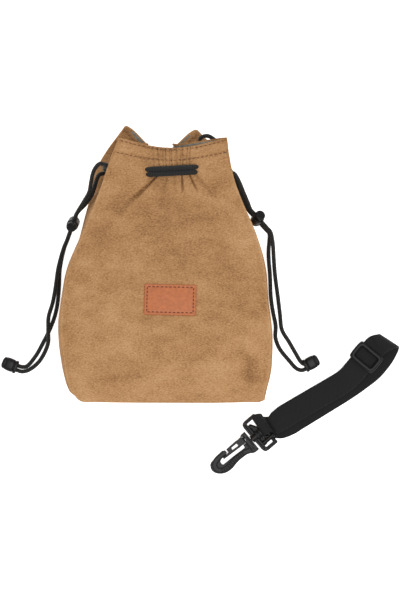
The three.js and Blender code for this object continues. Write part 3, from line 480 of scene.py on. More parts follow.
LEFT_LOOP = [
    (-49.3, 85, 34.6), (-43.5, 83.6, 36.3), (-36, 82.2, 38.8), (-26, 80.9, 40.8),
    (-19, 80.3, 41.4), (-14.5, 80.2, 45), (-10, 80.5, 48.6), (5.5, 81.2, 49), (21, 82.1, 48.6),
    (25.5, 82.4, 45), (30, 82.6, 41.3), (38, 83, 39.8), (44, 83.3, 37.8), (48.5, 84, 35.9),
    (50.6, 88, 33.6), (47.5, 96, 31), (41, 104.5, 28), (34, 108.6, 25.5), (28.5, 106.3, 22.8),
    (31.5, 99, 21), (41, 92, 20.8), (48, 88.2, 20.8), (50.6, 85, 20.2), (48.4, 82.7, 19),
    (43, 82.3, 17), (35, 82, 14.8), (29, 81.7, 12.9), (24.5, 81.5, 9), (19.5, 81.5, 5.5),
    (5, 81.5, 5.2), (-9.5, 81.5, 5.5), (-14.5, 81.5, 9), (-19.5, 81.3, 12.9),
    (-28, 80.3, 13.6), (-36, 79.3, 15.6), (-42.5, 79, 18.6), (-46.5, 78.8, 19.8),
    (-49.5, 78.3, 20.2),
]
RIGHT_LOOP = [
    (52.3, 78.3, 34.4), (47, 78.9, 36.2), (39, 79, 38.8), (30.5, 78.5, 41.3), (25.5, 78.3, 45),
    (21, 78, 48.6), (5.5, 77.1, 49), (-10, 76.4, 48.6), (-14.5, 76.1, 45), (-19, 76.2, 41.4),
    (-26, 76.8, 40.8), (-36, 78.1, 38.8), (-43.5, 79.3, 36.2), (-47.6, 80.2, 33.4),
    (-48.9, 81.8, 29), (-48.9, 83.2, 25), (-47.2, 83.9, 21.5), (-43, 84.2, 19),
    (-36, 83.3, 18.4), (-28, 80, 18.3), (-22.6, 77.3, 15.6), (-19.2, 77, 12.4),
    (-14.5, 77.2, 9), (-9.5, 77.3, 5.5), (5, 77.3, 5.2), (19.5, 77.3, 5.5), (24.5, 77.3, 9),
    (29, 77.4, 12.9), (35, 77.9, 14.8), (43, 78.3, 17), (48, 78.3, 18.9), (52, 77.6, 19.4),
]
STRANDS = {
    "left_upper_strand": [
        *beyond(*LEFT_LOOP[:2]), (-56.2, 82.6, 31.6), (-58.6, 77.6, 29.4), (-60.2, 70.3, 26.8),
        (-61.6, 63, 24.6), (-66, 55.5, 20.5), *through_lock(LEFT_LOCK, 1), (-83.2, 17.6, 5.9),
        (-87.6, 1.6, 5.2), (-89.9, -13.9, 4.6), (-92.3, -27.1, 4.8), (-95.6, -38.5, 5.3),
        (-95.9, -49.7, 5.7), (-96.2, -60.5, 4), (-103.3, -74.8, 2.4), (-111.9, -81.9, 3),
        (-117.5, -83.2, 4), (-121.8, -81.9, 4.5), (-125, -80.6, 4.5),
    ],
    "left_lower_strand": [
        *beyond(*LEFT_LOOP[:-3:-1]), (-54.8, 75.4, 20.9), (-56.6, 70, 21.1),
        (-59.4, 61.5, 20.6), (-64.3, 54.3, 16.4), *through_lock(LEFT_LOCK, -1),
        (-83, 17.6, 1.9), (-86.4, 1.6, 1.8), (-87.2, -13.9, 1.8), (-88.4, -27.1, 1.8),
        (-90.6, -37.5, 1.8), (-94.9, -49, 1.8), (-100.2, -59.6, 1.8), (-106.4, -70.6, 1.8),
        (-113.8, -79, 2.8), (-118, -79.3, 4), (-121.5, -78, 4.5), (-124.3, -76.8, 4.5),
    ],
    "right_upper_strand": [
        *beyond(*RIGHT_LOOP[:2]), (58, 75, 30.8), (61, 69, 27.6), (64.2, 61.5, 22.8),
        (67.2, 54.8, 17.6), *through_lock(RIGHT_LOCK, 1), (87.4, 24, 13.4), (88.2, 16.5, 9),
        (88.8, 8, 3.9), (89.8, -4.1, 1.8), (92.25, -23, 1.8), (93.9, -36.9, 1.8),
        (95.5, -49.2, 1.8), (101.3, -59, 2), (107, -68.9, 2.9), (110.4, -74.6, 4.1),
        (113.2, -77.1, 4.5), (116.4, -75.8, 4.5),
    ],
    "right_lower_strand": [
        *beyond(*RIGHT_LOOP[:-3:-1]), (57.6, 73.6, 20), (59.8, 66, 20.2), (62.6, 58.4, 18.2),
        (65.6, 52.2, 14), *through_lock(RIGHT_LOCK, -1), (84.9, 23.5, 8.6), (84.4, 16.5, 4.4),
        (84.6, 8, 2.1), (85.6, -4.1, 1.8), (86.4, -23, 1.8), (88.2, -34.9, 1.8),
        (90.3, -45.9, 1.8), (90.2, -55.8, 1.8), (93.6, -64.6, 1.9), (100.5, -73.3, 2.8),
        (108, -81.2, 4.1), (112.6, -82, 4.5), (116.6, -79.8, 4.5),
    ],
}
print("strands:", ", ".join(STRANDS))

# %% [markdown]
# The held loops come first, and the free strands are made the same way. They are measured,
# and each strand's length is printed. They meet the loops inside the suede's folds, so that
# a loop and its strands read as one cord.

# %% The cords
PRESSED_WIDE = 1.24

for name, points in (("left", LEFT_LOOP), ("right", RIGHT_LOOP)):
    node = f"drawstring_{name}_loop"
    cord_tube(f"{name}_neck_cord", points, braid, "pouch", node, swell=PRESSED_WIDE)

strands = {}
for name, points in STRANDS.items():
    strands[name] = cord_tube(f"{name}_cord", points, braid, "pouch", f"drawstring_{name}")
    print(name, round(strands[name][2]), "mm")

# %% [markdown]
# The pouch is sewn from four panels: a front, a back and two sides that fold inwards
# where the neck is drawn together. Each panel is one smooth surface. Tables give its
# edges from the base (0) to the rim (1) as shares of the half width or the depth, and
# they repeat the CAD model's, so the cloth lies over its solids. Only the back rim and
# the side rims hang a little lower, and the bottom corners are rounder.

# %% The pouch's form
HALF_WIDTH = 87
BASE_Y = -106.6
LENGTH = 213
DEPTH = 70
CROWN = 9
CORNER_LIFT = (3, 1.9)
CORNER_START = 0.91
FRONT_DIP = 8.5
BACK_PEAK = (11.8, 8.6)
BACK_DIP = 21
BACK_RISE = 7.5
SIDE_SAG = 4.5
SUEDE = 1.4
LINING = 1.2
LINING_DEPTH = 1.9
SIDE_START = (SUEDE + CLEARANCE) / LENGTH


def smooth_table(places, values):
    @functools.lru_cache(maxsize=None)
    def read(at):
        last = len(places) - 1
        i = 0
        while i < last - 1 and at > places[i + 1]:
            i += 1
        before, after = max(0, i - 1), min(last, i + 2)
        span = places[i + 1] - places[i]
        s = (at - places[i]) / span
        leave = (values[i + 1] - values[before]) / (places[i + 1] - places[before]) * span
        arrive = (values[after] - values[i]) / (places[after] - places[i]) * span
        return curve_between(values[i], leave, values[i + 1], arrive, s)

    return read


STATIONS = (0, 0.04, 0.1, 0.18, 0.27, 0.38, 0.5, 0.62, 0.74, 0.86, 1)
EDGES = {
    "front": [
        (-0.807, -0.872, -0.911, -0.939, -0.964, -0.948, -0.9, -0.783, -0.664, -0.566, -0.443),
        (0.92, 0.932, 0.97, 0.988, 0.987, 0.957, 0.934, 0.864, 0.746, 0.646, 0.585),
    ],
    "fold": [
        (-0.816, -0.888, -0.937, -0.97, -0.99, -0.966, -0.908, -0.796, -0.667, -0.483, -0.16),
        (0.92, 0.937, 0.971, 0.994, 0.994, 0.962, 0.932, 0.838, 0.708, 0.517, 0.077),
    ],
    "back": [
        (-0.816, -0.874, -0.914, -0.943, -0.966, -0.943, -0.885, -0.799, -0.73, -0.661, -0.393),
        (0.908, 0.931, 0.96, 0.977, 0.977, 0.954, 0.927, 0.846, 0.735, 0.65, 0.316),
    ],
}
edges = {name: [smooth_table(STATIONS, row) for row in pair] for name, pair in EDGES.items()}
front_height = smooth_table(STATIONS, (0.829, 0.914, 0.971, 1, 1, 0.957, 0.886, 0.814, 0.743, 0.671, 0.629))
crown = smooth_table(STATIONS, (0.25, 0.45, 0.7, 0.9, 1, 1, 0.9, 0.65, 0.33, 0.1, -0.2))


def edge_x(name, across, share):
    """How far a place between a panel's two edges is from the pouch's middle line."""
    left, right = (edge(share) for edge in edges[name])
    return HALF_WIDTH * mix(left, right, across)


def corner_lift(across, share):
    """The lower corners are pressed round where the base is sewn in."""
    near = max(0, (abs(2 * across - 1) - CORNER_START) / (1 - CORNER_START)) ** 2
    lift = CORNER_LIFT[0 if across < 0.5 else 1]
    return lift * near * (1 - smooth_step(0, 0.05, share))


def front_point(across, share):
    dip = FRONT_DIP * max(0, math.sin(math.pi * across)) ** 1.1 * share**3
    swell = CROWN * crown(share) * (1 - (2 * across - 1) ** 2)
    y = BASE_Y + LENGTH * share - dip + corner_lift(across, share)
    return Vector((edge_x("front", across, share), y, DEPTH * front_height(share) + swell))


def back_point(across, share):
    dip = BACK_DIP * max(0, math.sin(math.pi * across)) ** 1.85
    peak = mix(*BACK_PEAK, across)
    y = BASE_Y + LENGTH * share + (peak - dip) * share**3 + corner_lift(across, share)
    return Vector((edge_x("back", across, share), y, BACK_RISE * smooth_step(0.56, 0.7, share)))


FOLD_ROUNDING = 0.24


def side_point(side, across, share):
    """On the left (0) or right (1) side, across from the front's seam to the back's."""
    front, back = front_point(side, share), back_point(side, share)
    fold_x = edge_x("fold", side, share)
    flat = math.hypot(1, FOLD_ROUNDING)
    rise = (flat - math.hypot(2 * across - 1, FOLD_ROUNDING)) / (flat - FOLD_ROUNDING)
    fold_y = BASE_Y + LENGTH * share - SIDE_SAG * share**3 + corner_lift(side, share)
    sag = SIDE_SAG * math.sin(2 * math.pi * max(0, across - 0.5)) ** 2 * share**16
    point = front.lerp(back, across)
    point.x += (fold_x - (front.x + back.x) / 2) * rise
    point.y += (fold_y - (front.y + back.y) / 2) * rise - sag
    return point


print("the front's rim is", round(front_point(0.5, 1).z), "mm above the table")

# %% [markdown]
# A panel's cloth leaves its outer face by small amounts: it is pinched where the cords
# gather it, and a little uneven everywhere. The functions below give that relief, in
# millimetres outwards. Folds and gathers are lists of single creases, no two alike,
# because a repeated one would look printed.

# %% Folds and gathers
PANELS = {
    "front": (front_point, 1),
    "back": (back_point, -1),
    "left": (lambda across, share: side_point(0, across, share), -1),
    "right": (lambda across, share: side_point(1, across, share), 1),
}
NEIGHBOURS = {
    "front": (("left", 0), ("right", 0)),
    "back": (("left", 1), ("right", 1)),
    "left": (("front", 0), ("back", 0)),
    "right": (("front", 1), ("back", 1)),
}
PROBE = 0.01


def inward(name, across, share):
    surface, turn = PANELS[name]
    a, b = max(0, across - PROBE), min(1, across + PROBE)
    c, d = max(0, share - PROBE), min(1, share + PROBE)
    wide = surface(b, share) - surface(a, share)
    long = surface(across, d) - surface(across, c)
    return (long.cross(wide) * turn).normalized()


def groove(x, y, start, end, depth, width):
    """A crease from one place to another: a sharp valley between two low ridges."""
    way = Vector(end) - Vector(start)
    at = (Vector((x, y)) - Vector(start)).dot(way) / way.length_squared
    if not -0.3 < at < 1.3:
        return 0
    bend = 0.09 * way.length * (at * at - at)
    off = abs((Vector((x, y)) - Vector(start) - way * at).length - bend) / (width * (0.6 + at))
    fade = smooth_step(-0.25, 0.1, at) * (1 - smooth_step(0.35, 1.25, at))
    return -depth * fade * (1 - 1.1 * off**2) * math.exp(-(off**2))


def cloud(point, size, seed):
    return noise.noise(Vector((point.x / size, point.y / size, point.z / size + seed)))


FRONT_FOLDS = [
    ((-4.5, 77), (-22, 59), 3.5, 1.8),
    ((-9, 76), (-38, 43), 0.9, 3.4),
    ((2, 76.5), (-3, 52), 0.45, 2.4),
    ((13.6, 78), (14.4, 63), 3, 1.2),
    ((19, 78), (26, 63), 2.6, 1.2),
    ((8, 77), (8, 60), 0.4, 1.7),
    ((24, 77), (42, 56), 0.6, 3.0),
]
GATHERS = [
    (-8.5, -10.4, 0.5), (-4.2, -6.8, 0.9), (-1.2, -2, 0.6), (1.1, 0, 1.2), (3.6, 4.3, 0.7),
    (5.6, 5.2, 1.3), (7.9, 8.9, 0.6), (9.9, 9.3, 1.1), (12.4, 13.4, 0.8), (14.6, 14.2, 1.3),
    (17, 18.6, 0.7), (19.8, 20.6, 1), (23.5, 25.8, 0.5),
]
GATHERS_START = 79
BACK_FOLDS = (-12, -4, 4, 12, 20)


def front_creases(point):
    return sum(groove(point.x, point.y, *fold) for fold in FRONT_FOLDS)


def hem_gathers(point):
    """Short fine gathers between the cords and the rim."""
    if point.y < GATHERS_START:
        return 0
    rise = 0
    for low, high, depth in GATHERS:
        start, end = (low, GATHERS_START + 2 * depth), (high, 100 + 4 * depth)
        rise += groove(point.x, point.y, start, end, 1.7 * depth, 0.85)
    return rise


def front_relief(point):
    uneven = 0.9 * cloud(point, 38, 3) + 0.3 * cloud(point, 13, 9)
    return front_creases(point) + hem_gathers(point) + uneven


def back_relief(point):
    rise = sum(groove(point.x, point.y, (x, 78), (1.6 * x, 50), 1.1, 3) for x in BACK_FOLDS)
    free = smooth_step(10, 50, point.y)
    return rise * free + 0.35 * cloud(point, 24, 5) * free


def side_relief(point):
    return 0.8 * cloud(point, 30, 12) + 0.25 * cloud(point, 12, 17)


RELIEF = {"front": front_relief, "back": back_relief, "left": side_relief, "right": side_relief}
print(len(FRONT_FOLDS), "folds and", len(GATHERS), "gathers on the front")

# %% [markdown]
# The cloth is also rolled in along each turned seam, where two panels meet at one line,
# and the hem stands up a little. Both are added to the relief here, so that one function
# gives every place on a panel, at any depth under its outer face.

# %% Seams and hem
HEM_DEPTH = 11.2
HEM_ROWS = (1.9, HEM_DEPTH)


def hem_relief(share):
    """The hem is turned in twice, so it stands up a little between its two rows of stitches."""
    below = (1 - share) * LENGTH
    rise = 0.7 * smooth_step(HEM_DEPTH + 1.2, HEM_DEPTH - 1.5, below)
    for row in HEM_ROWS:
        rise -= 0.55 * math.exp(-(((below - row) / 0.9) ** 2))
    return rise


TUCK = 1.2
RIM_TUCK = 0.3
TUCK_WIDTH = 5
SHARPEST = 0.1


def nearer_seam(name, across, share):
    """The nearer side seam, 0 or 1, and how far off it is in millimetres."""
    surface, _ = PANELS[name]
    end = 0 if across < 0.5 else 1
    half_width = (surface(0.5, share) - surface(end, share)).length
    return end, half_width * 2 * abs(end - across)


@functools.lru_cache(maxsize=None)
def seam_shift(name, end, share, depth):
    """From the seam to the line where this layer and its neighbour's meet inside the corner."""
    other, other_end = NEIGHBOURS[name][end]
    first, second = inward(name, end, share), inward(other, other_end, share)
    tuck = mix(TUCK, RIM_TUCK, smooth_step(0.75, 0.95, share)) * smooth_step(0, 0.03, share)
    corner = (first + second) * ((depth + tuck) / max(SHARPEST, 1 + first.dot(second)))
    return corner - first * depth


def cloth_point(name, across, share, depth=0):
    """A place on a panel, this deep under its outer face, with its relief and its rolled seams."""
    surface, _ = PANELS[name]
    point = surface(across, share)
    end, off = nearer_seam(name, across, share)
    shift = seam_shift(name, end, share, depth)
    near = max(0, 1 - off / max(TUCK_WIDTH, 2.2 * shift.length)) ** 2
    down = inward(name, across, share)
    rise = RELIEF[name](point) * smooth_step(0, 9, off) + hem_relief(share) * smooth_step(0, 3, off)
    return point + down * (depth - rise) + shift * near


print("hem", HEM_DEPTH, "mm deep, seams rolled in by", TUCK, "mm")

# %% [markdown]
# Shade is painted into the nap as darker colour: in the front's creases and gathers, in
# the larger patches that the table lists on the front, with their centre, half width, half
# height and strength, and over the whole of the side panels. The nap is also lighter right
# at the seam line, a little darker just beside it, and darker along the hem's stitch rows.

# %% Painted shade and lighter seam edges
# Painted shade over the whole of both side panels.
SIDE_SHADE = 0.4
# Painted shade patches on the front: centre, half width, half height, strength.
PAINTED_SHADE_PATCHES = [
    (2, 52, 34, 24, 0.42), (40, 67, 9, 8, 0.35), (-37, 55, 10, 9, 0.35), (-50, 18, 13, 15, 0.35),
    (34, 46, 13, 8, 0.25), (43, 1, 14, 10, 0.3), (68, -80, 6, 13, 0.55), (61, -67, 6, 5, 0.35),
    (-35, -85, 22, 9, 0.35), (-76, -50, 6, 14, 0.25), (66, -41, 11, 9, 0.25), (-52, -60, 7, 16, 0.25),
]


def cloth_tone(name, across, share):
    surface, _ = PANELS[name]
    point = surface(across, share)
    _, off = nearer_seam(name, across, share)
    tone = 0.25 * math.exp(-((off / 1.5) ** 2)) - 0.08 * math.exp(-(((off - 4.5) / 2) ** 2))
    if name == "front":
        # Painted shade in the front's creases and gathers.
        tone += 0.75 * min(0, front_creases(point)) + 0.85 * min(0, hem_gathers(point))
        # Painted shade in the listed patches on the front.
        for x, y, width, height, strength in PAINTED_SHADE_PATCHES:
            far = ((point.x - x) / width) ** 2 + ((point.y - y) / height) ** 2
            tone -= strength * math.exp(-far)
    elif name != "back":
        # Painted shade over the whole side panel.
        tone -= SIDE_SHADE
    below = (1 - share) * LENGTH
    for row in HEM_ROWS:
        tone -= 0.35 * math.exp(-(((below - row) / 1.1) ** 2))
    return max(-1, min(1, tone))


# These places are painted shade.
print(len(PAINTED_SHADE_PATCHES), "pressed places on the front")

# %% [markdown]
# Each panel is a flat grid laid over its surface, then given the suede's thickness by a
# Solidify modifier that grows inwards. The lining is a second, thinner bag inside it.

# %% The suede panels and the lining


LINING_REACH = (SIDE_START, 0.996)


def thicken(piece, thickness, offset=-1):
    solid = piece.modifiers.new("thickness", "SOLIDIFY")
    solid.thickness = thickness * MM
    solid.offset = offset
    solid.use_even_offset = False
    return piece


OUTWARD = {"front": (0, 0, 1), "back": (0, 0, -1), "left": (-1, 0, 0), "right": (1, 0, 0)}


def face_towards(bm, way):
    """Turns the whole sheet over when its middle faces away from this direction."""
    bmesh.ops.recalc_face_normals(bm, faces=bm.faces)
    bm.faces.ensure_lookup_table()
    if bm.faces[len(bm.faces) // 2].normal.dot(Vector(way)) < 0:
        bmesh.ops.reverse_faces(bm, faces=bm.faces)


def panel(name, label, node, material, counts, depth, reach, thickness):
    def place(u, v):
        return cloth_point(name, u, mix(reach[0], reach[1], v), depth)

    def tone(u, v):
        return cloth_tone(name, u, mix(reach[0], reach[1], v)) if material == suede else 0

    bm = laid_grid(counts[0], counts[1], place, (140, LENGTH), tone=tone)
    face_towards(bm, OUTWARD[name])
    return thicken(finish_mesh(bm, label, material, "pouch", node), thickness)


for name, columns in (("front", 190), ("back", 70), ("left", 60), ("right", 60)):
    rows = 180 if name == "front" else 120
    word = "gusset" if name in ("left", "right") else "panel"
    panel(name, f"{name}_suede", f"{name}_{word}", suede, (columns, rows), 0, (0, 1), SUEDE)
    label, node, counts = f"{name}_plush", f"{name}_lining", (columns // 2, 60)
    panel(name, label, node, plush, counts, LINING_DEPTH, LINING_REACH, LINING)

# %% [markdown]
# The base is a separate oval of suede sewn in at the bottom. It is slightly domed and
# has a lining of its own.

# %% Base


def base_piece(label, node, material, inset, start_y, bulge, thickness):
    def place(u, v):
        front = cloth_point("front", mix(inset, 1 - inset, u), 0)
        back = cloth_point("back", mix(inset, 1 - inset, u), 0)
        point = front.lerp(back, mix(inset, 1 - inset, v))
        dome = (1 - (2 * u - 1) ** 4) * (1 - (2 * v - 1) ** 4)
        point.y = start_y - bulge * dome + corner_lift(mix(inset, 1 - inset, u), 0)
        return point

    bm = laid_grid(60, 24, place, (150, 60))
    face_towards(bm, (0, -1, 0))
    return thicken(finish_mesh(bm, label, material, "pouch", node), thickness)


base_piece("base_suede", "base_panel", suede, 0, BASE_Y + 0.6, bulge=1.5, thickness=SUEDE)
base_piece("base_plush", "base_lining", plush, 0.03, BASE_Y + 2.4, bulge=0.5, thickness=LINING)

# %% [markdown]
# Stitches are the detail that makes sewn work read as sewn. Each one is a tiny rounded
# bar lying on the cloth, a little shorter than the step between two needle holes.

# %% Stitches
STITCH_LENGTH = 2.3
STITCH_WIDTH = 0.95
STITCH_PITCH = 3.6


def add_stitch(bm, start, end, up):
    way = (end - start).normalized()
    side = up.cross(way).normalized()
    turn = Matrix((way, side, way.cross(side))).transposed().to_4x4()
    size = Matrix.Diagonal(((end - start).length / 2, STITCH_WIDTH / 2, STITCH_WIDTH / 3, 1))
    place = Matrix.Diagonal((MM, MM, MM, 1)) @ Matrix.Translation((start + end) / 2) @ turn @ size
    place = place @ Matrix.Rotation(math.pi / 2, 4, "Y")
    bmesh.ops.create_uvsphere(bm, u_segments=8, v_segments=5, radius=1, matrix=place)


def stitch_row(bm, line, up, pitch):
    """Stitches along a list of points, one per pitch."""
    even, _ = smooth_route(line, pitch)
    for a, b in zip(even, even[1:]):
        middle = (a + b) / 2
        half = (b - a).normalized() * STITCH_LENGTH / 2
        add_stitch(bm, middle - half, middle + half, up)


for name in PANELS:
    stitches = bmesh.new()
    edge = 0.03 if name in ("front", "back") else 0.06
    for below in HEM_ROWS:
        share = 1 - below / LENGTH
        line = [cloth_point(name, mix(edge, 1 - edge, i / 40), share, -0.15) for i in range(41)]
        stitch_row(stitches, line, Vector(OUTWARD[name]), STITCH_PITCH)
    finish_mesh(stitches, f"{name}_hem_stitching", suede_thread, "pouch")

# %% [markdown]
# The label is a small blank patch of saddle leather. Its corners are rounded, its edge
# is pared down, and a row of stitches sinks a shallow channel all round.

# %% Leather label
LABEL_SIZE = (41.3, 24.6)
LABEL_CENTRE = (4.6, -24.6)
LABEL_TURN = math.radians(-1.4)
LABEL_CORNER = 1.8
LABEL_RISE = 1.2
LABEL_THICKNESS = 0.8
STITCH_SPAN = (0.16, 0.84)
STITCH_INSET = 2.3


def on_panel(name, x, y):
    surface, _ = PANELS[name]
    share = (y - BASE_Y) / LENGTH
    across = 0
    for _ in range(6):
        left, right = surface(0, share).x, surface(1, share).x
        across = (x - left) / (right - left)
        share += (y - surface(across, share).y) / LENGTH
    return across, share


def on_label(a, b, height):
    """A place on the label, a along and b up from its middle, this high over the suede."""
    x = LABEL_CENTRE[0] + a * math.cos(LABEL_TURN) - b * math.sin(LABEL_TURN)
    y = LABEL_CENTRE[1] + a * math.sin(LABEL_TURN) + b * math.cos(LABEL_TURN)
    return cloth_point("front", *on_panel("front", x, y), -height)


def label_place(u, v):
    half = (LABEL_SIZE[0] / 2, LABEL_SIZE[1] / 2)
    at = [mix(-half[0], half[0], u), mix(-half[1], half[1], v)]
    over = [abs(at[i]) - (half[i] - LABEL_CORNER) for i in (0, 1)]
    if min(over) > 0:
        pull = max(over) / math.hypot(*over)
        at = [math.copysign(half[i] - LABEL_CORNER + over[i] * pull, at[i]) for i in (0, 1)]
    edge = min(half[i] - abs(at[i]) for i in (0, 1))
    height = CLEARANCE + LABEL_RISE * smooth_step(-0.5, 0.9, edge)
    height -= 0.3 * math.exp(-(((edge - STITCH_INSET) / 0.6) ** 2))
    return on_label(at[0], at[1], height)


label_mesh = laid_grid(82, 50, label_place, LABEL_SIZE)
face_towards(label_mesh, (0, 0, 1))
label = finish_mesh(label_mesh, "label_leather", leather, "pouch", "label_patch")
thicken(label, LABEL_THICKNESS)

label_stitches = bmesh.new()
inner = (LABEL_SIZE[0] / 2 - STITCH_INSET, LABEL_SIZE[1] / 2 - STITCH_INSET)
for count, start, end in (
    (11, (-1, 1), (1, 1)),
    (11, (-1, -1), (1, -1)),
    (7, (-1, -1), (-1, 1)),
    (7, (1, -1), (1, 1)),
):
    for i in range(count):
        ends = []
        for share in ((i + part) / count for part in STITCH_SPAN):
            a = inner[0] * mix(start[0], end[0], share)
            b = inner[1] * mix(start[1], end[1], share)
            ends.append(on_label(a, b, CLEARANCE + LABEL_RISE - 0.1))
        add_stitch(label_stitches, ends[0], ends[1], Vector((0, 0, 1)))
finish_mesh(label_stitches, "label_stitching", label_thread, "pouch")

# %% [markdown]
# A belt loop is sewn flat to the back, with a little slack in its middle for the belt.

# %% Belt loop
LOOP_SIZE = (20, 42)
LOOP_CENTRE = (2, 53)
LOOP_THICKNESS = 1.1
LOOP_LIFT = 0.65
LOOP_SLACK = 2.2
SEWN_END = 8
SLACK_RAMP = 8


def belt_loop_place(u, v):
    x = LOOP_CENTRE[0] + LOOP_SIZE[0] * (u - 0.5)
    y = LOOP_CENTRE[1] + LOOP_SIZE[1] * (v - 0.5)
    free = min(v, 1 - v) * LOOP_SIZE[1] - SEWN_END
    point = back_point(*on_panel("back", x, y))
    point.z -= LOOP_LIFT + LOOP_SLACK * smooth_step(0, SLACK_RAMP, free)
    return point


belt_mesh = laid_grid(14, 40, belt_loop_place, LOOP_SIZE)
face_towards(belt_mesh, (0, 0, -1))
belt_loop = finish_mesh(belt_mesh, "belt_loop_suede", suede, "pouch", "belt_loop")
thicken(belt_loop, LOOP_THICKNESS, offset=1)

# %% [markdown]
# The locks, the slider and the snap hook are moulded in nylon, and a mould leaves every
# edge a little round, which catches the light as a thin bright line. The CAD solids have
# the right shapes but sharp edges and loose triangles. So a copy of each is merged into
# whole faces, and a Bevel modifier eases its edges.

# %% Mouldings with eased edges
EASE = 0.35


def eased_copy(node, name, body):
    bm = bmesh.new()
    bm.from_mesh(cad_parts[node].data)
    bmesh.ops.remove_doubles(bm, verts=bm.verts, dist=1e-6)
    bmesh.ops.dissolve_limit(bm, angle_limit=math.radians(2), verts=bm.verts, edges=bm.edges)
    piece = finish_mesh(bm, name, nylon, body, node)
    edges = piece.modifiers.new("eased edges", "BEVEL")
    edges.width = EASE * MM
    edges.segments = 2
    edges.angle_limit = math.radians(28)
    piece.modifiers.new("flat faces stay flat", "WEIGHTED_NORMAL")
    return piece


for side in ("left", "right"):
    shell = eased_copy(f"{side}_lock_body", f"{side}_lock_shell", f"{side}_lock")
    eased_copy(f"{side}_lock_button", f"{side}_push_button", f"{side}_button")
for node, name, body in (
    ("strap_slider", "slider_frame", "slider"),
    ("swivel_loop", "loop_frame", "loop"),
    ("snap_hook", "hook_body", "hook"),
    ("hook_gate", "gate_tongue", "gate"),
):
    eased_copy(node, name, body)

# %% [markdown]
# Each lock's button stands on a spring in a well. It is hidden, but it is there.

# %% Springs in the locks
WELL_FLOOR = -8
SPRING_FOOT = -7.6
SPRING_TOP = -5
SPRING_WIRE = 0.5
SPRING_RADIUS = 1.75
SPRING_TURNS = 2.5
COIL_STEPS = 40

for side, lock in (("left", LEFT_LOCK), ("right", RIGHT_LOCK)):
    coil = []
    for i in range(COIL_STEPS + 1):
        angle = 2 * math.pi * SPRING_TURNS * i / COIL_STEPS
        height = mix(SPRING_FOOT, SPRING_TOP - SPRING_WIRE / 2, i / COIL_STEPS)
        round_part = Vector((math.cos(angle), math.sin(angle), 0)) * SPRING_RADIUS
        coil.append(lock.seat() @ (round_part + Vector((0, 0, height))))
    name, body, node = f"{side}_spring_coil", f"{side}_lock", f"{side}_lock_spring"
    spring, _, _ = cord_tube(name, coil, spring_steel, body, node, diameter=SPRING_WIRE, step=0.4)
    floor_point = lock.seat() @ Vector((0, 0, WELL_FLOOR))
    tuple(lock.axis)
    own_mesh(spring)

# %% [markdown]
# A cord end is a small barrel with a collar where the cords go in and a pressed-on cap at
# its far end. It is a rounded bar whose section grows and shrinks along a short profile:
# each pair gives a place along the barrel and the share of its full size there.

# %% Cord ends
END_HALF = (5.45, 4.2)
END_PROFILE = [
    (0, 0.5), (0, 0.84), (0.3, 0.95), (0.9, 1), (2.2, 1), (2.5, 0.97), (2.65, 0.88), (3, 0.88),
    (3.15, 0.95), (4.5, 0.98), (6.5, 1), (8.5, 0.98), (10, 0.94), (10.2, 0.87), (10.5, 0.87),
    (10.7, 0.92), (11.5, 0.88), (12.2, 0.79), (12.8, 0.64), (13.1, 0.45), (13.2, 0.2),
]


def moulded_bar(bm, profile, half, seat, squareness=0.6, sides=36):
    """A closed bar along X through (along, share) stations, its section between round and square."""

    def place(u, v):
        along, share = profile[round(v * (len(profile) - 1))]
        c, s = math.cos(2 * math.pi * u), math.sin(2 * math.pi * u)
        wide = math.copysign(abs(c) ** squareness, c) * half[0] * share
        high = math.copysign(abs(s) ** squareness, s) * half[1] * share
        return seat @ Vector((along, wide, high))

    return laid_grid(sides, len(profile) - 1, place, closed=True, bm=bm)


def seat_at(x, y, z, degrees):
    return Matrix.Translation((x, y, z)) @ Matrix.Rotation(math.radians(degrees), 4, "Z")


for side, seat in (
    ("left", seat_at(-121.3, -80, 4.5, 157.3)),
    ("right", seat_at(113.6, -79.1, 4.5, 28.1)),
):
    bm = moulded_bar(None, END_PROFILE, END_HALF, seat)
    finish_mesh(bm, f"{side}_end_barrel", nylon, "pouch", f"{side}_cord_end")

for name, (piece, line, length) in strands.items():
    side = name.split("_")[0]
    [point * MM for point in line]

# %% [markdown]
# The strap is one length of webbing, doubled back on itself. Its route repeats the CAD
# model's, but that round the loop's bar it is turned and shifted by about 3 mm. Each row
# holds the place along and beside the slider's line in shares of 92 mm, the ply that it
# lies on, and its turn in degrees. Real webbing bunches where it folds, so the
# last two numbers of some rows pull its upper and lower edge in by that many millimetres,
# or let it flare where they are negative. The tab is its tucked-in end.

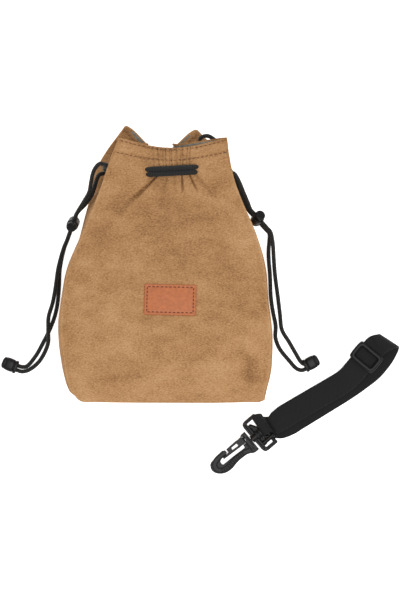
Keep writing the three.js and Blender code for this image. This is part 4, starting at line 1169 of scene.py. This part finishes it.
# %% The strap's route
STRAP_RUN = 92
STRAP_LIFT = 0.02
WEBBING_WIDTH = 19
WEBBING_THICKNESS = 1.1
SLIDER_CENTRE = Vector((164.2, -71.3, 0))
SLIDER_HEADING = 50
STRAP_SEAT = seat_at(*SLIDER_CENTRE, SLIDER_HEADING)
STRAP_ROUTE = [
    (-0.36, 0.0335, 1.1, -16), (-0.4783, 0.075, 1, -19), (-0.6622, 0.1416, 1, -19),
    (-0.86, 0.2115, 1, -18), (-0.9488, 0.2402, 1, -18, 1, 0), (-0.987, 0.2521, 1, -18, 2.7, 0.5),
    (-0.998, 0.256, 1.136, -18, 3.7, 0.8), (-1.001, 0.257, 1.5, -18, 4, 1),
    (-0.998, 0.256, 1.864, -18, 3.7, 0.8), (-0.987, 0.2521, 2, -18, 2.7, 0.5),
    (-0.9488, 0.2402, 2, -18, 1, 0), (-0.8836, 0.2192, 2, -18), (-0.6622, 0.1416, 2, -19),
    (-0.4783, 0.075, 2, -19), (-0.3696, 0.0364, 2.107, -16), (-0.2717, 0.0087, 3.179, -9),
    (-0.1739, 0, 4.607, -1), (-0.1304, 0, 4.643, 0), (-0.0435, 0, 4.643, 0), (0.0435, 0, 4.643, 0),
    (0.1033, 0, 4.643, 0), (0.1413, -0.0043, 4.893, -2), (0.1902, -0.0217, 6.179, 3),
    (0.2304, -0.0489, 5.75, 6), (0.2435, -0.0652, 3.607, 7), (0.2239, -0.0826, 1.321, 4),
    (0.1891, -0.0946, 0.357, 0), (0.1446, -0.1054, 0.05, -2), (0.087, -0.113, 0.008, -5),
    (-0.0435, -0.113, 0, -10), (-0.1848, -0.0848, 0, -14), (-0.3272, -0.0465, 0, -16),
    (-0.5283, 0.019, 0, -18), (-0.7283, 0.0857, 0, -18), (-0.8152, 0.1152, 0, -18),
    (-0.913, 0.155, 0, -18, 0, -0.5), (-0.9946, 0.225, 0.05, -17, 0, -2.4),
    (-1.038, 0.292, 0.221, -16, 1, -3.6), (-1.0674, 0.325, 0.357, -16, 2.2, -1.5),
    (-1.0852, 0.337, 0.85, -16, 2.6, 0), (-1.0924, 0.342, 2.036, -16, 2.6, 0.3),
    (-1.0852, 0.341, 3.221, -16, 1, 0.3), (-1.0674, 0.336, 3.714, -16, -0.3, 0),
    (-1.0391, 0.326, 3.321, -16, 0.4, 0), (-1.0174, 0.317, 2.1, -16, 1.5, 0),
    (-1.012, 0.31, 1.5, -15, 2, 0),
]
TAB_ROUTE = [
    (-0.1848, 0, 2, 0), (-0.087, 0, 2, 0), (-0.038, 0, 3.179, 0), (-0.013, 0, 3.607, 0),
    (0, 0, 3.643, 0), (0.0142, 0, 3.257, 0), (0.0201, 0, 2.321, 0), (0.0142, 0, 1.386, 0),
    (0, 0, 1, 0), (-0.0435, 0, 1, 0), (-0.2065, 0, 1, 0),
]
print(len(STRAP_ROUTE), "points for the strap,", len(TAB_ROUTE), "for its tab")

# %% [markdown]
# The webbing is a flat band with half-round edges, carried along its route and turned as
# the rows say. The tab goes round the slider's centre bar, so it moves with the slider.

# %% The strap
FLAT_STEPS = 8


def band_section(half_width, half_thickness):
    """The outline of a flat band with half-round edges, as (wide, thick) pairs."""
    flat = half_width - half_thickness
    half = [(mix(-flat, flat, i / FLAT_STEPS), half_thickness) for i in range(FLAT_STEPS + 1)]
    for degrees in (45, 90, 135):
        a = math.radians(degrees)
        half.append((flat + half_thickness * math.sin(a), half_thickness * math.cos(a)))
    return half + [(-wide, -thick) for wide, thick in half]


def read_between(knots, values, at):
    """The value at this place, straight between the knots."""
    for i in range(len(knots) - 2):
        if at < knots[i + 1]:
            break
    share = (at - knots[i]) / (knots[i + 1] - knots[i])
    return mix(values[i], values[i + 1], min(1, max(0, share)))


def webbing_band(name, node, route, body):
    step = WEBBING_THICKNESS + CLEARANCE
    points = []
    for along, aside, ply, *_ in route:
        height = STRAP_LIFT + WEBBING_THICKNESS / 2 + ply * step
        points.append(STRAP_SEAT @ Vector((along * STRAP_RUN, aside * STRAP_RUN, height)))
    line, length = smooth_route(points, 0.9)
    knots = [0]
    for a, b in zip(points, points[1:]):
        knots.append(knots[-1] + (b - a).length)
    knots = [knot / knots[-1] for knot in knots]
    turns, uppers, lowers = ([(*row, 0, 0)[k] for row in route] for k in (3, 4, 5))
    section = band_section(WEBBING_WIDTH / 2, WEBBING_THICKNESS / 2)
    rows = len(line) - 1

    def place(u, v):
        i = round(v * rows)
        turn = math.radians(90 + SLIDER_HEADING + read_between(knots, turns, v))
        wide = Vector((math.cos(turn), math.sin(turn), 0))
        way = line[min(i + 1, rows)] - line[max(i - 1, 0)]
        thick = way.cross(wide).normalized()
        at, over = section[round(u * len(section)) % len(section)]
        pull = read_between(knots, uppers if at > 0 else lowers, v)
        return line[i] + wide * at * (1 - 2 * pull / WEBBING_WIDTH) + thick * over

    around = 2 * (WEBBING_WIDTH + WEBBING_THICKNESS)
    bm = laid_grid(len(section), rows, place, (around, length), closed=True)
    print(name, round(length), "mm")
    return finish_mesh(bm, name, webbing, body, node)


webbing_band("strap_band", "strap_webbing", STRAP_ROUTE, "strap")
webbing_band("strap_tab_band", "strap_end_tab", TAB_ROUTE, "slider")

# %% [markdown]
# Moulded fittings are thickened where they carry load: the slider's frame has a domed rim,
# and the swivel has ringed collars, struts and webs to its loop and a raised bar beside the
# strap. Each of these is a low half-round ridge along a route, so one function makes them
# all. The table gives each ridge's points, its width and its height in millimetres.

# %% Ridges, ribs and collars
HOOK_SEAT = seat_at(81.1, -130.1, 3.4, 220.5)
RIM_HALF = (6.4, 10.2)
RIM_CORNER = 2.4
RIM_WIDTH = 3.9
RIM_TOP = 9.2
RIM_RISE = 1.5


def ridge(bm, points, width, height, seat, ring=False):
    """A half-round ridge along level points, with rounded ends unless it is a ring."""
    line, length = smooth_route(points, 0.7)
    rows = len(line) - 1

    def place(u, v):
        i = round(v * rows)
        angle = 2 * math.pi * u
        before, after = (i - 1 if i else rows - 1, i + 1 if i < rows else 1)
        if not ring:
            before, after = max(i - 1, 0), min(i + 1, rows)
        side = (line[after] - line[before]).cross(Vector((0, 0, 1))).normalized()
        full = 1 if ring else math.sqrt(max(0.04, 1 - max(0, 1 - min(i, rows - i)) ** 2))
        wide = side * (math.cos(angle) * width / 2 * full)
        return seat @ (line[i] + wide + Vector((0, 0, math.sin(angle) * height * full)))

    return laid_grid(12, rows, place, (2 * width, length), closed=True, bm=bm)


def ring_route(half_long, half_wide, corner):
    """A rounded rectangle's points at one height, from the middle of a side all the way round."""
    points = [(half_long, 0)]
    for x, y, start in ((1, 1, 0), (-1, 1, 90), (-1, -1, 180), (1, -1, 270)):
        middle = (x * (half_long - corner), y * (half_wide - corner))
        for k in range(4):
            a = math.radians(start + 30 * k)
            points.append((middle[0] + corner * math.cos(a), middle[1] + corner * math.sin(a)))
    return points + [(half_long, 0)]


rim_route = [(x, y, RIM_TOP) for x, y in ring_route(*RIM_HALF, RIM_CORNER)]
rim = ridge(None, rim_route, RIM_WIDTH, RIM_RISE, STRAP_SEAT, ring=True)
finish_mesh(rim, "slider_rim", nylon, "slider")

COLLAR_PROFILE = [
    (3.4, 0.4), (3.4, 0.8), (3.8, 0.93), (5.4, 0.95), (5.8, 0.84), (6.6, 0.84), (7, 1), (8.6, 1),
    (8.8, 0.9), (9.4, 0.86), (9.5, 0.5),
]
COLLAR_HALF = (4.3, 3.2)
LOOP_RIDGES = []
for y in (-1, 1):
    LOOP_RIDGES += [
        ((4.2, 2.6 * y, 0), (6, 6.2 * y, 0), (8.6, 10.4 * y, 0), 4, 1.6),
        ((10.4, -y * 13.6, 1.2), (10.6, 0, 1.2), (10.4, y * 13.6, 1.2), 1.2, 0.9),
        ((-1, 13.9 * y, 1.4), (5, 13.9 * y, 1.4), (9, 13.8 * y, 1.4), 1.2, 0.8),
    ]
LOOP_RIDGES += [
    ((6.9, -8.6, 0), (6.9, 0, 0), (6.9, 8.6, 0), 4.6, 1.4),
    ((3.5, 3.6, 0), (3.5, 6, 0), (3.5, 8.4, 0), 2.8, 1.2),
    ((-3.2, 8.3, 0.7), (3, 8.3, 0.7), (9.4, 8.3, 0.7), 3.8, 2),
    ((-2.6, 9.1, 2.5), (3, 9.1, 2.5), (8.8, 9.1, 2.5), 0.8, 0.6),
]
collars = moulded_bar(None, COLLAR_PROFILE, COLLAR_HALF, HOOK_SEAT, squareness=0.75)
for *points, width, height in LOOP_RIDGES:
    ridge(collars, points, width, height, HOOK_SEAT)
finish_mesh(collars, "swivel_collars", nylon, "loop")

# %% [markdown]
# The hook's spine is a shallow channel on both its faces, with cross ribs between two
# rails. It runs from the hook's block round its bend to the tip. Its middle line is given
# in shares of the hook's length, and the rails and ribs are worked out from it. The block
# has a round boss at each side and two low ridges across its top.

# %% Ribbed spine
SPINE = [
    (0.375, 0.1), (0.43, 0.077), (0.52, 0.066), (0.63, 0.062), (0.75, 0.078), (0.84, 0.072),
    (0.905, 0.035), (0.928, -0.02), (0.905, -0.078), (0.84, -0.11), (0.75, -0.117), (0.675, -0.117),
]
HOOK_LENGTH = 55.3
HOOK_FACE = 2.4
RAIL_OFFSET = 1.75
RIB_STEP = 2
RIBBED = (0.08, 0.55)
RIB_REACH = 0.75
RIB_SIZE = (0.9, 0.55)
RAIL_SIZE = (0.95, 0.75)
BLOCK_RIDGES = [
    ((16, -6, 0), (17, -6, 0), (18, -6, 0), 4.2, 4),
    ((16, 6, 0), (17, 6, 0), (18, 6, 0), 4.2, 4),
    ((15.4, -5, 2.9), (15.4, 0, 2.9), (15.4, 5, 2.9), 1.3, 0.9),
    ((18.6, -7, 2.9), (18.6, 0, 2.9), (18.6, 7, 2.9), 1.1, 0.8),
]

spine = bmesh.new()
for face in (HOOK_FACE, -HOOK_FACE):
    middle = [(x * HOOK_LENGTH, y * HOOK_LENGTH, face) for x, y in SPINE]
    line, _ = smooth_route(middle, RIB_STEP)
    for side in (-1, 1):
        beside = []
        for i, point in enumerate(line):
            way = line[min(i + 1, len(line) - 1)] - line[max(i - 1, 0)]
            beside.append(point + way.cross(Vector((0, 0, 1))).normalized() * RAIL_OFFSET * side)
            if side > 0 and RIBBED[0] < i / len(line) < RIBBED[1]:
                across = (beside[-1] - point) * RIB_REACH
                ridge(spine, [point - across, point, point + across], *RIB_SIZE, HOOK_SEAT)
        ridge(spine, beside, *RAIL_SIZE, HOOK_SEAT)
for *points, width, height in BLOCK_RIDGES:
    ridge(spine, points, width, height, HOOK_SEAT)
finish_mesh(spine, "hook_spine_ribs", nylon, "hook")

# %% [markdown]
# The photograph has a pure white ground with hardly a shadow, as on a light table that
# glows a little itself. A white world gives the even light. One soft lamp hangs 1.8 m up,
# beyond the pouch's base and to its right, because in the photograph the base's edge is
# lighter than the neck.

# %% Floor and light
WORLD_LIGHT = 0.68
FLOOR_GLOW = 0.8
FLOOR_HEIGHT = -1.6
LAMP_POWER = 15.5
LAMP_SIZE = 0.8
LAMP_PLACE = (0.25, -0.25, 1.8)

floor_mesh = bmesh.new()
bmesh.ops.create_grid(floor_mesh, x_segments=1, y_segments=1, size=3)
floor_data = bpy.data.meshes.new("floor")
floor_mesh.to_mesh(floor_data)
floor_mesh.free()
table, _, shader = new_material("white light table", "#FFFFFF", 0.9, Emission_Strength=FLOOR_GLOW)
shader.inputs["Emission Color"].default_value = linear("#FFFFFF")
floor_data.materials.append(table)
floor = bpy.data.objects.new("floor", floor_data)
floor.location.z = FLOOR_HEIGHT * MM
bpy.context.scene.collection.objects.link(floor)

world = bpy.data.worlds.new("studio")
world.use_nodes = True
background = world.node_tree.nodes["Background"]
background.inputs["Color"].default_value = linear("#FFFFFF")
background.inputs["Strength"].default_value = WORLD_LIGHT
bpy.context.scene.world = world

lamp_data = bpy.data.lights.new("soft box", "AREA")
lamp_data.energy = LAMP_POWER
lamp_data.size = LAMP_SIZE
lamp = bpy.data.objects.new("soft box", lamp_data)
lamp.location = LAMP_PLACE
lamp.rotation_euler = Vector(LAMP_PLACE).to_track_quat("Z", "Y").to_euler()
bpy.context.scene.collection.objects.link(lamp)
bpy.context.scene.view_settings.view_transform = "Standard"
print("lamp", LAMP_POWER, "W, world", WORLD_LIGHT)
